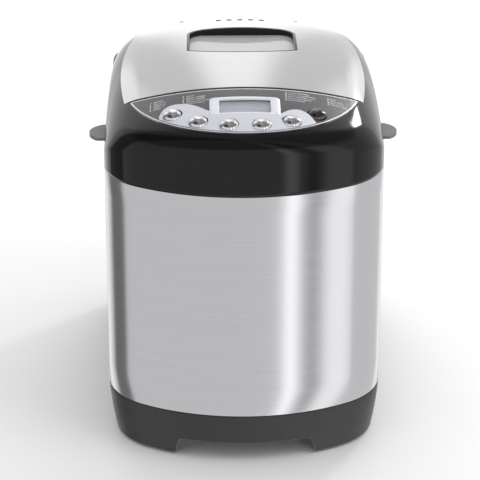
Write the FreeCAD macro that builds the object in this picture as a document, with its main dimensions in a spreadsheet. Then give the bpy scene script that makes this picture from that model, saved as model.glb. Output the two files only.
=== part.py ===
"""Bread machine: a crowned, clamshell-lidded housing round a baking chamber with a belt-driven kneader.

Millimetres. X is across, -Y is the front, +Z is up. The origin is on the surface that the feet
stand on, below the middle of the bounding box. The sheet "Dims" holds the sizes that shape the
machine or that parts share. Sizes of one small detail stand in the outline that draws it.
"""
import FreeCAD, Part
import math
import os
import re

import Sketcher

V = FreeCAD.Vector
Constraint = Sketcher.Constraint

DIMS = {
    # body outline, seen from above
    "half_w": 115, "front_y": -177.5, "rear_y": 177.5,
    "front_r": 165, "corner_r": 60, "rear_r": 45, "base_taper": 8,
    # heights of the stacked shells
    "foot_z": 2, "base_z": 44, "band_z": 240, "split_z": 248, "chassis_z": 58,
    # the crowned top: a section of crown and shoulders, swung on a spine about a low axis
    "crown_r": 300, "shoulder_r": 40, "spine_r": 520, "crest_y": -12.5, "crest_z": 311,
    "front_round": 14, "brow_lean": 60, "cap_z": 200,
    # sheet and moulding thicknesses
    "wall": 3, "steel": 0.8, "play": 0.05, "inlay": 1.2,
    # finger scoop in the front of the base
    "scoop_low": 68, "scoop_high": 49, "scoop_z": 17.5, "scoop_back": -136,
    # seam between control deck and lid, and the lid's hinge
    "seam_y": -71.4, "seam_tilt": 25.17, "lid_gap": 0.5, "lid_rear": 148, "hinge_y": 160,
    "hinge_z": 271, "nose_r": 11.5, "knuckle_x": 46, "knuckle_half": 8, "knuckle_r": 6.5,
    "hinge_pin_r": 2.5, "lid_sill": 251.4,
    # control panel
    "lens_r": 97, "lens_y": -65.5, "lens_rear": -95.5, "lens_rim": 1.2,
    "deck_y": -132.5, "button_r": 7.6, "trim_r": 10.5, "board_w": -20,
    "lcd_half": 28.5, "lcd_front": -138.2, "lcd_rear": -112.5,
    "glass_half": 20.6, "glass_front": -135, "glass_rear": -117,
    # lid
    "skin_half": 103, "skin_r": 600, "skin_mid": -11.5, "skin_rear": 140,
    "window_half": 47, "window_front": -27.5,
    "window_rear": 52.3, "window_r": 15, "window_bow": 85, "pane_z": 297, "vent_y": 97,
    "tab_x": 111, "tab_y": -57, "tab_r": 18,
    "dome_half": 78, "dome_front": -50, "dome_rear": 120, "dome_r": 14, "dome_z": 275,
    # chamber and pan
    "chamber_half": 93, "chamber_front": -63, "chamber_rear": 143, "chamber_r": 14,
    "chamber_z": 75, "axis_y": 40, "pan_half_x": 66, "pan_half_y": 83, "pan_r": 20,
    "pan_z": 112, "pan_top": 238, "pan_wall": 1.5, "element_r": 3.25, "element_z": 98,
    "handle_z": 231, "handle_r": 2.5, "handle_x": 71.5, "handle_arm": 75.7, "handle_rest": 7.6,
    # drive
    "shaft_r": 4, "run_fit": 0.05, "motor_y": -118, "pulley_z": 38, "pulley_top": 48,
    "large_r": 55, "small_r": 11, "belt_t": 2.5,
    # motor: core, end frames, bolts and rotor
    "core_half": 42, "core_r": 8, "core_low": 78, "core_high": 118, "core_bore": 25, "bolt_at": 34,
    "end_z": 129, "end_t": 4, "clear_r": 2.1, "rotor_r": 24.6, "fan_z": 138,
    # chassis plate and the screws' threads
    "chassis_t": 2, "plate_half": 98, "plate_front": -158, "plate_bend": -100, "plate_nose": 60,
    "plate_rear": 142, "thread_r": 1.95,
    # service panel and its port
    "port_half": 62, "port_low": 68, "port_high": 222, "cover_half": 66, "cover_t": 2.5, "gland_x": 40,
    "gland_z": 88, "gland_r": 9,
    # heating element
    "loop_half": 80, "loop_front": -52, "loop_rear": 132, "loop_bend": 20, "lead_x": 14,
    # power electronics
    "power_half": 60, "power_y": -76, "power_low": 152, "power_high": 232, "capacitor_r": 13,
    # sill and seal under the lid
    "sill_low": 248.4, "seal_top": 250.2, "seal_near": 2, "seal_far": 6.5,
}

doc = FreeCAD.newDocument("bread_machine")
dims = doc.addObject("Spreadsheet::Sheet", "Dims")
for row, (word, size) in enumerate(DIMS.items(), 1):
    dims.set(f"A{row}", word)
    dims.set(f"B{row}", str(size))
    dims.setAlias(f"B{row}", word)
doc.recompute()

parts = {}


# ---------------------------------------------------------------- helpers: values and bindings
def formula(text):
    """The text with each sheet word pointed at the sheet."""
    return re.sub(r"[a-z_]+", lambda m: "Dims." + m[0] if m[0] in DIMS else m[0], str(text))


def num(text):
    """The present value of a formula."""
    return float(dims.evalExpression(formula(text)))


def bind(thing, prop, text):
    thing.setExpression(prop, formula(text))


def node(label, thing):
    """Name a finished sub-part: the label is its file's name."""
    thing.Label = label
    parts[label] = thing
    return thing


def place(thing, x="0", y="0", z="0", turn=None):
    """Bind where a thing stands, after any turn given as (axis, degrees)."""
    if turn:
        thing.Placement = FreeCAD.Placement(V(), FreeCAD.Rotation(V(*turn[0]), turn[1]))
    for axis, text in (("x", x), ("y", y), ("z", z)):
        bind(thing, f"Placement.Base.{axis}", text)
    return thing


# ---------------------------------------------------------------- helpers: solids
def box(name, x, y, z):
    """A block between limits along each axis."""
    block = doc.addObject("Part::Box", name)
    for prop, (low, high) in (("Length", x), ("Width", y), ("Height", z)):
        bind(block, prop, f"({high})-({low})")
    return place(block, x[0], y[0], z[0])


def rod(name, radius, centre, span, axis="z"):
    """A round bar along an axis, from span[0] to span[1]; centre is the other two coordinates."""
    bar = doc.addObject("Part::Cylinder", name)
    bind(bar, "Radius", radius)
    bind(bar, "Height", f"({span[1]})-({span[0]})")
    if axis == "x":
        return place(bar, span[0], centre[0], centre[1], ((0, 1, 0), 90))
    if axis == "y":
        return place(bar, centre[0], span[0], centre[1], ((1, 0, 0), -90))
    return place(bar, centre[0], centre[1], span[0])


def cut(name, base, *tools):
    for index, tool in enumerate(tools):
        step = doc.addObject("Part::Cut", f"{name}_less{index}")
        step.Base, step.Tool = base, tool
        base = step
    return base


def fuse(name, *shapes):
    whole = doc.addObject("Part::MultiFuse", name + "_whole")
    whole.Shapes = list(shapes)
    return whole


def common(name, base, *others):
    for index, other in enumerate(others):
        step = doc.addObject("Part::Common", f"{name}_shared{index}")
        step.Base, step.Tool = base, other
        base = step
    return base


def bunch(name, shapes):
    """Like pieces kept as separate solids in one node."""
    group = doc.addObject("Part::Compound", name + "_set")
    group.Links = list(shapes)
    return group


def raise_up(name, sketch, low, high):
    """A flat outline drawn at z = 0, carried straight up from low to high."""
    block = doc.addObject("Part::Extrusion", name)
    block.Base = sketch
    block.DirMode = "Custom"
    block.Dir = V(0, 0, 1)
    block.Solid = True
    bind(block, "LengthFwd", high)
    bind(block, "LengthRev", f"-({low})")
    return block


# ---------------------------------------------------------------- helpers: sketches
def datum(sketch, constraint, text):
    index = sketch.addConstraint(constraint)
    bind(sketch, f"Constraints[{index}]", text)


def pin_point(sketch, edge, end, x, y):
    """Bind one point of a sketch to sheet formulas for its two coordinates."""
    for kind, axis, text in (("DistanceX", -2, x), ("DistanceY", -1, y)):
        if num(text) == 0:
            sketch.addConstraint(Constraint("PointOnObject", edge, end, axis))
        else:
            datum(sketch, Constraint(kind, edge, end, num(text)), text)


def polygon(sketch, points):
    """A closed outline of straight edges through bound points."""
    spots = [V(num(x), num(y), 0) for x, y in points]
    first = sketch.GeometryCount
    count = len(spots)
    for index in range(count):
        sketch.addGeometry(Part.LineSegment(spots[index], spots[(index + 1) % count]))
    for index, (x, y) in enumerate(points):
        after = first + (index - 1) % count
        sketch.addConstraint(Constraint("Coincident", after, 2, first + index, 1))
        pin_point(sketch, first + index, 1, x, y)


def circle(sketch, radius, x, y):
    edge = sketch.addGeometry(Part.Circle(V(num(x), num(y), 0), V(0, 0, 1), num(radius)))
    datum(sketch, Constraint("Radius", edge, num(radius)), radius)
    pin_point(sketch, edge, 3, x, y)


def flat_sketch(name):
    return doc.addObject("Sketcher::SketchObject", name)


def on_plane(body, name, role):
    """A sketch on one of a body's own origin planes."""
    sketch = body.newObject("Sketcher::SketchObject", name)
    plane = next(item for item in body.Origin.OriginFeatures if item.Role == role)
    sketch.AttachmentSupport = [(plane, "")]
    sketch.MapMode = "FlatFace"
    return sketch


def rounded(name, half_x, half_y, radius, x="0", y="0"):
    """A rectangle with round corners, centred on x, y."""
    hx, hy, r, cx, cy = (num(text) for text in (half_x, half_y, radius, x, y))
    sketch = flat_sketch(name)
    corners = ((1, -1), (1, 1), (-1, 1), (-1, -1))
    starts = (270, 0, 90, 180)
    for (sx, sy), start in zip(corners, starts):
        hub = V(cx + sx * (hx - r), cy + sy * (hy - r), 0)
        ring = Part.Circle(hub, V(0, 0, 1), r)
        sketch.addGeometry(Part.ArcOfCircle(ring, math.radians(start), math.radians(start + 90)))
    for index in range(4):
        start = sketch.Geometry[index].EndPoint
        end = sketch.Geometry[(index + 1) % 4].StartPoint
        sketch.addGeometry(Part.LineSegment(start, end))
    for index in range(4):
        sketch.addConstraint(Constraint("Tangent", index, 2, 4 + index, 1))
        sketch.addConstraint(Constraint("Tangent", 4 + index, 2, (index + 1) % 4, 1))
    sketch.addConstraint([Constraint("Equal", 0, index) for index in (1, 2, 3)])
    sketch.addConstraint([Constraint("Vertical", 4), Constraint("Horizontal", 5)])
    sketch.addConstraint([Constraint("Vertical", 6), Constraint("Horizontal", 7)])
    datum(sketch, Constraint("Radius", 0, r), radius)
    pin_point(sketch, 4, 1, f"({x})+({half_x})", f"({y})-({half_y})+({radius})")
    pin_point(sketch, 6, 1, f"({x})-({half_x})", f"({y})+({half_y})-({radius})")
    return sketch


def slab(name, half_x, half_y, radius, low, high, x="0", y="0"):
    """A round-cornered block between two heights."""
    return raise_up(name, rounded(name + "_outline", half_x, half_y, radius, x, y), low, high)


# ---------------------------------------------------------------- helpers: bodies
def turned(label, profile, x="0", y="0", z="0", turn=None):
    """A body turned about its own vertical axis from a profile of (radius, height) points."""
    body = doc.addObject("PartDesign::Body", label)
    sketch = on_plane(body, label + "_profile", "XZ_Plane")
    polygon(sketch, profile)
    spin = body.newObject("PartDesign::Revolution", label + "_turning")
    spin.Profile = sketch
    spin.ReferenceAxis = (sketch, ["V_Axis"])
    spin.Angle = 360
    return place(body, x, y, z, turn)


def plate(label, outline, low, high, holes=()):
    """A body cut from sheet: an outline of bound points, with round holes of (radius, x, y)."""
    body = doc.addObject("PartDesign::Body", label)
    sketch = on_plane(body, label + "_outline", "XY_Plane")
    polygon(sketch, outline)
    for radius, x, y in holes:
        circle(sketch, radius, x, y)
    pad = body.newObject("PartDesign::Pad", label + "_sheet")
    pad.Profile = sketch
    bind(pad, "Length", f"({high})-({low})")
    return place(body, z=low)


# ---------------------------------------------------------------- the body's outline and its crown
def outline(name, inset="0"):
    """The body seen from above: a bowed front, straight sides and a flat back, drawn in by inset."""
    half, front, rear = num(f"half_w-({inset})"), num("front_y"), num(f"rear_y-({inset})")
    front_r, corner_r, rear_r = (num(f"{word}-({inset})") for word in ("front_r", "corner_r", "rear_r"))
    hub_y = front + num("front_r")
    side = half - corner_r
    drop = math.sqrt((front_r - corner_r) ** 2 - side ** 2)
    lean = math.atan2(side, drop)
    hubs = [(0, hub_y, front_r, 1.5 * math.pi - lean, 1.5 * math.pi + lean),
            (side, hub_y - drop, corner_r, 1.5 * math.pi + lean, 2 * math.pi),
            (half - rear_r, rear - rear_r, rear_r, 0, math.pi / 2),
            (rear_r - half, rear - rear_r, rear_r, math.pi / 2, math.pi),
            (-side, hub_y - drop, corner_r, math.pi, 1.5 * math.pi - lean)]
    arcs = [Part.ArcOfCircle(Part.Circle(V(x, y, 0), V(0, 0, 1), r), a, b) for x, y, r, a, b in hubs]
    sketch = flat_sketch(name)
    for arc in arcs:
        sketch.addGeometry(arc)
    for start, end in ((1, 2), (2, 3), (3, 4)):
        sketch.addGeometry(Part.LineSegment(arcs[start].EndPoint, arcs[end].StartPoint))
    for start, end in ((0, 1), (1, 5), (5, 2), (2, 6), (6, 3), (3, 7), (7, 4), (4, 0)):
        sketch.addConstraint(Constraint("Tangent", start, 2, end, 1))
    sketch.addConstraint([Constraint("Vertical", 5), Constraint("Horizontal", 6)])
    sketch.addConstraint([Constraint("Vertical", 7), Constraint("Equal", 1, 4), Constraint("Equal", 2, 3)])
    datum(sketch, Constraint("Radius", 0, front_r), f"front_r-({inset})")
    datum(sketch, Constraint("Radius", 1, corner_r), f"corner_r-({inset})")
    datum(sketch, Constraint("Radius", 2, rear_r), f"rear_r-({inset})")
    datum(sketch, Constraint("DistanceX", 5, 2, half), f"half_w-({inset})")
    datum(sketch, Constraint("DistanceX", 7, 1, -half), f"({inset})-half_w")
    pin_point(sketch, 0, 3, "0", "front_y+front_r")
    datum(sketch, Constraint("DistanceY", 6, 1, rear), f"rear_y-({inset})")
    return sketch


def wall_block(name, inset, low, high):
    return raise_up(name, outline(name + "_outline", inset), low, high)


def crown(name, depth="0"):
    """The crown swung along its spine, its skin lowered by depth."""
    half, top = num(f"half_w-({depth})"), num(f"crest_z-({depth})")
    crown_r, shoulder_r = num(f"crown_r-({depth})"), num(f"shoulder_r-({depth})")
    low = num("cap_z")
    hub_z = top - crown_r
    side = half - shoulder_r
    rise = math.sqrt((crown_r - shoulder_r) ** 2 - side ** 2)
    lean = math.atan2(side, rise)
    quarter = math.pi / 2
    hubs = [(0, hub_z, crown_r, quarter - lean, quarter + lean),
            (-side, hub_z + rise, shoulder_r, quarter + lean, math.pi),
            (side, hub_z + rise, shoulder_r, 0, quarter - lean)]
    arcs = [Part.ArcOfCircle(Part.Circle(V(x, y, 0), V(0, 0, 1), r), a, b) for x, y, r, a, b in hubs]
    sketch = flat_sketch(name + "_section")
    for arc in arcs:
        sketch.addGeometry(arc)
    corners = (arcs[1].EndPoint, V(-half, low, 0), V(half, low, 0), arcs[2].StartPoint)
    for start, end in zip(corners, corners[1:]):
        sketch.addGeometry(Part.LineSegment(start, end))
    for start, end in ((2, 0), (0, 1), (1, 3), (5, 2)):
        sketch.addConstraint(Constraint("Tangent", start, 2, end, 1))
    sketch.addConstraint([Constraint("Coincident", 3, 2, 4, 1), Constraint("Coincident", 4, 2, 5, 1)])
    sketch.addConstraint([Constraint("Vertical", 3), Constraint("Horizontal", 4), Constraint("Vertical", 5)])
    sketch.addConstraint(Constraint("Equal", 1, 2))
    datum(sketch, Constraint("Radius", 0, crown_r), f"crown_r-({depth})")
    datum(sketch, Constraint("Radius", 1, shoulder_r), f"shoulder_r-({depth})")
    pin_point(sketch, 0, 3, "0", f"crest_z-({depth})-(crown_r-({depth}))")
    pin_point(sketch, 4, 1, f"({depth})-half_w", "cap_z")
    datum(sketch, Constraint("DistanceX", 4, 2, half), f"half_w-({depth})")
    place(sketch, y="crest_y", turn=((1, 0, 0), 90))
    swung = doc.addObject("Part::Revolution", name)
    swung.Source = sketch
    swung.Axis = V(1, 0, 0)
    swung.Base = V(0, num("crest_y"), num("crest_z-spine_r"))
    bind(swung, "Base.y", "crest_y")
    bind(swung, "Base.z", "crest_z-spine_r")
    swung.Angle = 60
    swung.Symmetric = True
    swung.Solid = True
    return swung


def brow(name, depth="0"):
    """The rounded front edge: a steep cone with a rolled rim, turned about the front's centre."""
    hub_x = "front_r-front_round"
    hub_z = "crest_z-spine_r+sqrt((spine_r-front_round)^2-(front_r-front_round)^2)"
    roll = f"(front_round-({depth}))"
    peak = f"{hub_z}+({roll}+({hub_x})*cos(brow_lean*1deg))/sin(brow_lean*1deg)"
    ring = Part.Circle(V(num(hub_x), num(hub_z), 0), V(0, 0, 1), num(roll))
    rim = Part.ArcOfCircle(ring, 0, math.radians(num("brow_lean")))
    low = num("cap_z")
    corners = (rim.EndPoint, V(0, num(peak), 0), V(0, low, 0), V(rim.StartPoint.x, low, 0), rim.StartPoint)
    sketch = flat_sketch(name + "_section")
    sketch.addGeometry(rim)
    for start, end in zip(corners, corners[1:]):
        sketch.addGeometry(Part.LineSegment(start, end))
    for start, end in ((0, 1), (4, 0)):
        sketch.addConstraint(Constraint("Tangent", start, 2, end, 1))
    for start, end in ((1, 2), (2, 3), (3, 4)):
        sketch.addConstraint(Constraint("Coincident", start, 2, end, 1))
    datum(sketch, Constraint("Radius", 0, num(roll)), roll)
    pin_point(sketch, 0, 3, hub_x, hub_z)
    pin_point(sketch, 2, 1, "0", peak)
    pin_point(sketch, 3, 1, "0", "cap_z")
    sketch.addConstraint(Constraint("Horizontal", 3))
    place(sketch, y="crest_y", turn=((1, 0, 0), 90))
    turn = doc.addObject("Part::Revolution", name)
    turn.Source = sketch
    turn.Axis = V(0, 0, 1)
    turn.Base = V(0, num("crest_y"), 0)
    bind(turn, "Base.y", "crest_y")
    turn.Angle = -180
    turn.Solid = True
    back = box(name + "_back", ("-200", "200"), ("crest_y", "200"), ("cap_z", "400"))
    return fuse(name, turn, back)


def envelope(name, depth, low):
    """The whole upper body above a height, with its skin lowered by depth."""
    sides = wall_block(name + "_sides", depth, low, "400")
    return common(name, sides, crown(name + "_crown", depth), brow(name + "_brow", depth))


def seam_block(name, gap="0"):
    """Everything behind the slanted seam between deck and lid, moved back by gap."""
    block = doc.addObject("Part::Box", name)
    block.Length, block.Width, block.Height = 400, 400, 400
    tilt = "sin(seam_tilt*1deg)"
    fall = "cos(seam_tilt*1deg)"
    bind(block, "Placement.Rotation.Angle", "seam_tilt")
    block.Placement = FreeCAD.Placement(V(), FreeCAD.Rotation(V(1, 0, 0), num("seam_tilt")))
    bind(block, "Placement.Base.x", "-200")
    bind(block, "Placement.Base.y", f"seam_y+({gap})+150*{tilt}")
    bind(block, "Placement.Base.z", f"split_z-150*{fall}")
    return block


def crown_z(x, y):
    """Height of the crown's skin over a point well inside the shoulders."""
    radius = num("spine_r") - num("crown_r") + math.sqrt(num("crown_r") ** 2 - x * x)
    return num("crest_z-spine_r") + math.sqrt(radius ** 2 - (y - num("crest_y")) ** 2)


def upper_zone(name, front, rear, low, gap="0"):
    """The space between the slanted seam and the lid's back edge, above a height."""
    block = box(name + "_block", ("-150", "150"), (front, rear), (low, "400"))
    return common(name, block, seam_block(name + "_seam", gap))


# ---------------------------------------------------------------- base
def scoop_block(name, inset):
    """The finger scoop: an arch with leaning ends, narrowing toward the back."""
    body = doc.addObject("PartDesign::Body", name)
    front = on_plane(body, name + "_arch", "XZ_Plane")
    top = f"scoop_z-({inset})"
    polygon(front, [(f"({inset})-scoop_low", "-1"), (f"scoop_low-({inset})", "-1"),
                    (f"scoop_high-({inset})", top), (f"({inset})-scoop_high", top)])
    pad = body.newObject("PartDesign::Pad", name + "_run")
    pad.Profile = front
    pad.Length = 400
    pad.Midplane = True
    plan = flat_sketch(name + "_plan")
    polygon(plan, [("-scoop_low-8", "front_y-2"), ("scoop_low+8", "front_y-2"),
                   (f"scoop_low*0.55-({inset})", f"scoop_back-({inset})"),
                   (f"({inset})-scoop_low*0.55", f"scoop_back-({inset})")])
    return common(name, body, raise_up(name + "_wedge", plan, "-2", "60"))


def tapered(name, inset, low):
    """The base's form: drawn in at the bottom, full size at the rim."""
    loft = doc.addObject("Part::Loft", name)
    bottom = outline(name + "_low", f"base_taper+({inset})")
    top = outline(name + "_high", inset)
    place(bottom, z=low)
    place(top, z="base_z")
    loft.Sections = [bottom, top]
    loft.Solid = True
    loft.Ruled = True
    return loft


FEET = (("-78", "-98"), ("78", "-98"), ("-84", "138"), ("84", "138"))
POSTS = (("-84", "-80"), ("84", "-80"), ("-88", "116"), ("88", "116"))


def base():
    shell = cut("tub", tapered("tub_out", "0", "foot_z"), tapered("tub_in", "wall", "foot_z+wall"))
    hood = common("tub_hood", scoop_block("scoop_skin", "-wall"), tapered("tub_fill", "0", "foot_z"))
    posts = [rod(f"post{i}", "6", spot, ("foot_z+1", "chassis_z")) for i, spot in enumerate(POSTS)]
    solid = fuse("tub", shell, hood, *posts)
    screw_holes = [rod(f"post_hole{i}", "2", spot, ("foot_z+10", "chassis_z+1"))
                   for i, spot in enumerate(POSTS)]
    foot_holes = [rod(f"foot_hole{i}", "4", spot, ("0", "foot_z+wall+1")) for i, spot in enumerate(FEET)]
    slots = [box(f"air_slot{i}", (f"-36+{i}*8", f"-32+{i}*8"), ("70", "110"), ("0", "foot_z+wall+1"))
             for i in range(10)]
    node("base_tub", cut("tub", solid, scoop_block("scoop", "0"), *screw_holes, *foot_holes, *slots))
    profile = [("0", "0"), ("9", "0"), ("10", "foot_z-0.1"), ("4-play", "foot_z-0.1"),
               ("4-play", "foot_z+wall"), ("5", "foot_z+wall+0.1"), ("3", "foot_z+wall+3"),
               ("0", "foot_z+wall+3")]
    node("rubber_feet", bunch("feet", [turned(f"foot{i}", profile, *spot) for i, spot in enumerate(FEET)]))


# ---------------------------------------------------------------- outer wrap and back
def wrap():
    ring = cut("wrap", wall_block("wrap_out", "0", "base_z+0.1", "band_z-0.1"),
               wall_block("wrap_in", "steel", "base_z", "band_z"))
    port = box("wrap_port", ("-port_half", "port_half"), ("rear_y-20", "rear_y+1"), ("port_low", "port_high"))
    node("steel_wrap", cut("wrap_open", ring, port))
    face = box("back_face", ("-cover_half", "cover_half"), ("rear_y-steel-0.1-cover_t", "rear_y-steel-0.1"),
               ("port_low-4", "port_high+4"))
    plug = box("back_plug", ("0.5-port_half", "port_half-0.5"), ("rear_y-steel-1", "rear_y-steel"),
               ("port_low+0.5", "port_high-0.5"))
    louvres = [box(f"louvre{i}", ("-44", "44"), ("rear_y-8", "rear_y+1"), (f"140+{i}*9", f"144+{i}*9"))
               for i in range(8)]
    bore = rod("gland_seat", "gland_r", ("gland_x", "gland_z"), ("rear_y-8", "rear_y+1"), "y")
    node("rear_panel", cut("back", fuse("back", face, plug), bore, *louvres))
    collar = [("4", "-0.6"), ("12", "-0.6"), ("11", "-0.1"), ("gland_r-play", "0"), ("gland_r-play", "3.5"),
              ("11", "3.6"), ("8", "9"), ("4", "9")]
    node("cable_gland", turned("gland", collar, "gland_x", "rear_y-steel", "gland_z", ((1, 0, 0), 90)))


# ---------------------------------------------------------------- upper housing with the hinge nose
BUTTONS = (("far_left", -58, -129.7), ("left", -37.3, -144.6), ("mid_left", -13, -151.8),
           ("mid_right", 13, -151.8), ("right", 37.3, -144.6), ("start", 58, -129.7))
DECK_TILT = math.degrees(math.asin((num("crest_y") - num("deck_y")) / num("spine_r")))
DECK_TURN = ((1, 0, 0), DECK_TILT)
DECK_Z = crown_z(0, num("deck_y"))


def button_hole(name, radius, x, y):
    hole = doc.addObject("Part::Cylinder", name)
    bind(hole, "Radius", radius)
    hole.Height = 40
    sine, cosine = math.sin(math.radians(DECK_TILT)), math.cos(math.radians(DECK_TILT))
    return place(hole, x, f"{y}+20*{sine}", f"{crown_z(x, y)}-20*{cosine}", DECK_TURN)


def on_deck(name, across, along, above):
    """A block square to the control deck: limits across it, up its slope and off its face."""
    block = doc.addObject("Part::Box", name)
    for prop, (low, high) in (("Length", across), ("Width", along), ("Height", above)):
        bind(block, prop, f"({high})-({low})")
    sine, cosine = math.sin(math.radians(DECK_TILT)), math.cos(math.radians(DECK_TILT))
    y = f"deck_y+({along[0]})*{cosine}-({above[0]})*{sine}"
    z = f"{DECK_Z}+({along[0]})*{sine}+({above[0]})*{cosine}"
    return place(block, across[0], y, z, DECK_TURN)


def lens(name, inset):
    """The panel's outline seen from above: a near half-round front edge and a gently bowed back."""
    disc = rod(name + "_disc", f"lens_r-({inset})", ("0", "lens_y"), ("250", "330"))
    back = box(name + "_back", ("-150", "150"), ("-200", "lens_rear+8"), ("240", "340"))
    seam = seam_block(name + "_seam", f"-1.5-({inset})")
    return cut(name, common(name, disc, back), seam)


def housing():
    outer = envelope("hull", "0", "band_z")
    inner = envelope("hull_in", "wall", "band_z-1")
    lid_space = upper_zone("lid_space", "-150", "lid_rear+0.25", "split_z")
    front_room = cut("front_room", inner, seam_block("deck_back", "-wall"),
                     box("front_floor", ("-150", "150"), ("-60", "200"), ("0", "400")))
    nose_core = rod("nose_core", "nose_r-wall", ("hinge_y", "hinge_z"), ("-26", "26"), "x")
    rear_room = cut("rear_room", common("rear_room", inner, box("rear_block", ("-150", "150"),
                    ("lid_rear+0.25+wall", "200"), ("band_z-1", "400"))),
                    rod("nose_keep", "nose_r", ("hinge_y", "hinge_z"), ("-98", "98"), "x"))
    band_room = wall_block("band_room", "wall", "band_z-1", "split_z-wall")
    brow_cut = cut("swing", box("swing_block", ("-150", "150"), ("lid_rear", "hinge_y"), ("hinge_z", "400")),
                   rod("swing_keep", "nose_r", ("hinge_y", "hinge_z"), ("-150", "150"), "x"))
    mouth = slab("mouth", "chamber_half+0.2", "(chamber_rear-chamber_front)/2+0.2", "chamber_r",
                 "band_z", "split_z+1", "0", "(chamber_rear+chamber_front)/2")
    shell = cut("hull", outer, lid_space, front_room, rear_room, band_room, brow_cut, mouth, nose_core)
    slots = [box(f"knuckle_slot{side}",
                 (f"{side}*knuckle_x-knuckle_half-0.4", f"{side}*knuckle_x+knuckle_half+0.4"),
                 ("lid_rear-1", "hinge_y+12"), ("split_z+4", "400")) for side in (-1, 1)]
    pins = [rod(f"pin_bore{side}", "hinge_pin_r", ("hinge_y", "hinge_z"),
                (f"{side}*knuckle_x-18", f"{side}*knuckle_x+18"), "x") for side in (-1, 1)]
    deck_skin = envelope("deck_skin", "inlay", "band_z")
    recess = cut("recess", lens("recess", "0"), deck_skin)
    holes = [button_hole(f"deck_hole_{word}", "button_r+0.5", x, y) for word, x, y in BUTTONS]
    view = box("lcd_port", ("-glass_half", "glass_half"), ("glass_front", "glass_rear"), ("270", "320"))
    node("upper_housing", cut("housing", shell, *slots, *pins, recess, view, *holes))
    node("hinge_pins", bunch("pins", [rod(f"hinge_pin{side}", "hinge_pin_r", ("hinge_y", "hinge_z"),
         (f"{side}*knuckle_x-17.5", f"{side}*knuckle_x+17.5"), "x") for side in (-1, 1)]))


# ---------------------------------------------------------------- control panel
def layer(name, top, bottom):
    """The sheet of space between two depths below the crown's skin."""
    return cut(name, crown(name + "_top", top), crown(name + "_under", bottom))


def trim_plan(name):
    """Discs round the five programme keys, joined by bars, seen from above."""
    spots = [(x, y) for _, x, y in BUTTONS[:5]]
    pieces = [rod(f"{name}_disc{i}", "trim_r", spot, ("250", "330")) for i, spot in enumerate(spots)]
    for i, ((x0, y0), (x1, y1)) in enumerate(zip(spots, spots[1:])):
        bar = doc.addObject("Part::Box", f"{name}_bar{i}")
        bar.Length, bar.Height = math.hypot(x1 - x0, y1 - y0), 80
        bind(bar, "Width", "trim_r*1.3")
        lean = math.atan2(y1 - y0, x1 - x0)
        side = f"trim_r*0.65*{math.sin(lean)}", f"-trim_r*0.65*{math.cos(lean)}"
        place(bar, f"{x0}+{side[0]}", f"{y0}{side[1]}" if side[1][0] == "-" else f"{y0}+{side[1]}", "250",
              ((0, 0, 1), math.degrees(lean)))
        pieces.append(bar)
    return common(name, fuse(name, *pieces), lens(name + "_bound", "lens_rim+play"))


def panel():
    rim = cut("rim", lens("rim_out", "play"), lens("rim_in", "lens_rim"))
    node("control_bezel", common("bezel", layer("rim_layer", "0", "inlay-play"), rim))
    frame_box = box("lcd_space", ("-lcd_half", "lcd_half"), ("lcd_front", "lcd_rear"), ("250", "330"))
    port = box("lcd_view", ("-glass_half", "glass_half"), ("glass_front", "glass_rear"), ("250", "330"))
    fascia = common("fascia", layer("fascia_layer", "0.1", "inlay-play"),
                    lens("fascia_lens", "lens_rim+play"))
    hole = button_hole("fascia_hole", "button_r+0.3", *BUTTONS[5][1:])
    node("control_fascia", cut("fascia_open", fascia, trim_plan("trim_gap"), frame_box, hole))
    holes = [button_hole(f"trim_hole_{word}", "button_r+0.3", x, y) for word, x, y in BUTTONS[:5]]
    trim = common("trim", layer("trim_layer", "-0.7", "inlay-play"), trim_plan("trim_shape"))
    node("keypad_trim", cut("trim_open", trim, *holes))
    surround = common("surround", layer("surround_layer", "-0.4", "inlay-play"), frame_box)
    node("lcd_frame", cut("surround_open", surround, port))
    glass = box("glass_space", ("play-glass_half", "glass_half-play"),
                ("glass_front+play", "glass_rear-play"), ("250", "330"))
    node("lcd_window", common("glass", layer("glass_layer", "0", "inlay-play"), glass))
    node("lcd_module", on_deck("lcd_box", ("-24", "24"), ("-4", "18"), ("-9", "-4.5")))
    node("display_board", on_deck("board", ("-70", "70"), ("-24", "24"), ("board_w-1.6", "board_w")))


def keys():
    sine, cosine = math.sin(math.radians(DECK_TILT)), math.cos(math.radians(DECK_TILT))
    switches = []
    for word, x, y in BUTTONS:
        level = crown_z(x, y)
        along = (y - num("deck_y")) * cosine + (level - DECK_Z) * sine
        above = (level - DECK_Z) * cosine - (y - num("deck_y")) * sine
        stem = f"board_w+5.6-({above})"
        profile = [("0", stem), ("3", stem), ("3", "-7"), ("button_r+1.2", "-7"), ("button_r+1.2", "-5.6"),
                   ("button_r", "-5.6"), ("button_r", "0.6"), ("button_r*0.86", "1.9"),
                   ("button_r*0.5", "2.9"), ("0", "3.3")]
        node(f"button_{word}", turned(f"key_{word}", profile, x, y, level, DECK_TURN))
        switches.append(on_deck(f"switch_{word}", (f"{x}-3", f"{x}+3"), (f"{along}-3", f"{along}+3"),
                                ("board_w", "board_w+4")))
    node("switch_set", bunch("switches", switches))


# ---------------------------------------------------------------- baking chamber and its frame
SPACERS = (("-70", "-40"), ("70", "-40"), ("-70", "118"), ("70", "118"))
CHAMBER_Y = "(chamber_front+chamber_rear)/2"
CHAMBER_HALF = "(chamber_rear-chamber_front)/2"


def ring_bend(name, x, y, z, start):
    """A quarter of the heating element's corner, starting at an angle about the vertical."""
    bend = doc.addObject("Part::Torus", name)
    bind(bend, "Radius1", "loop_bend")
    bind(bend, "Radius2", "element_r")
    bend.Angle3 = 90
    return place(bend, x, y, z, ((0, 0, 1), start))


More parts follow.
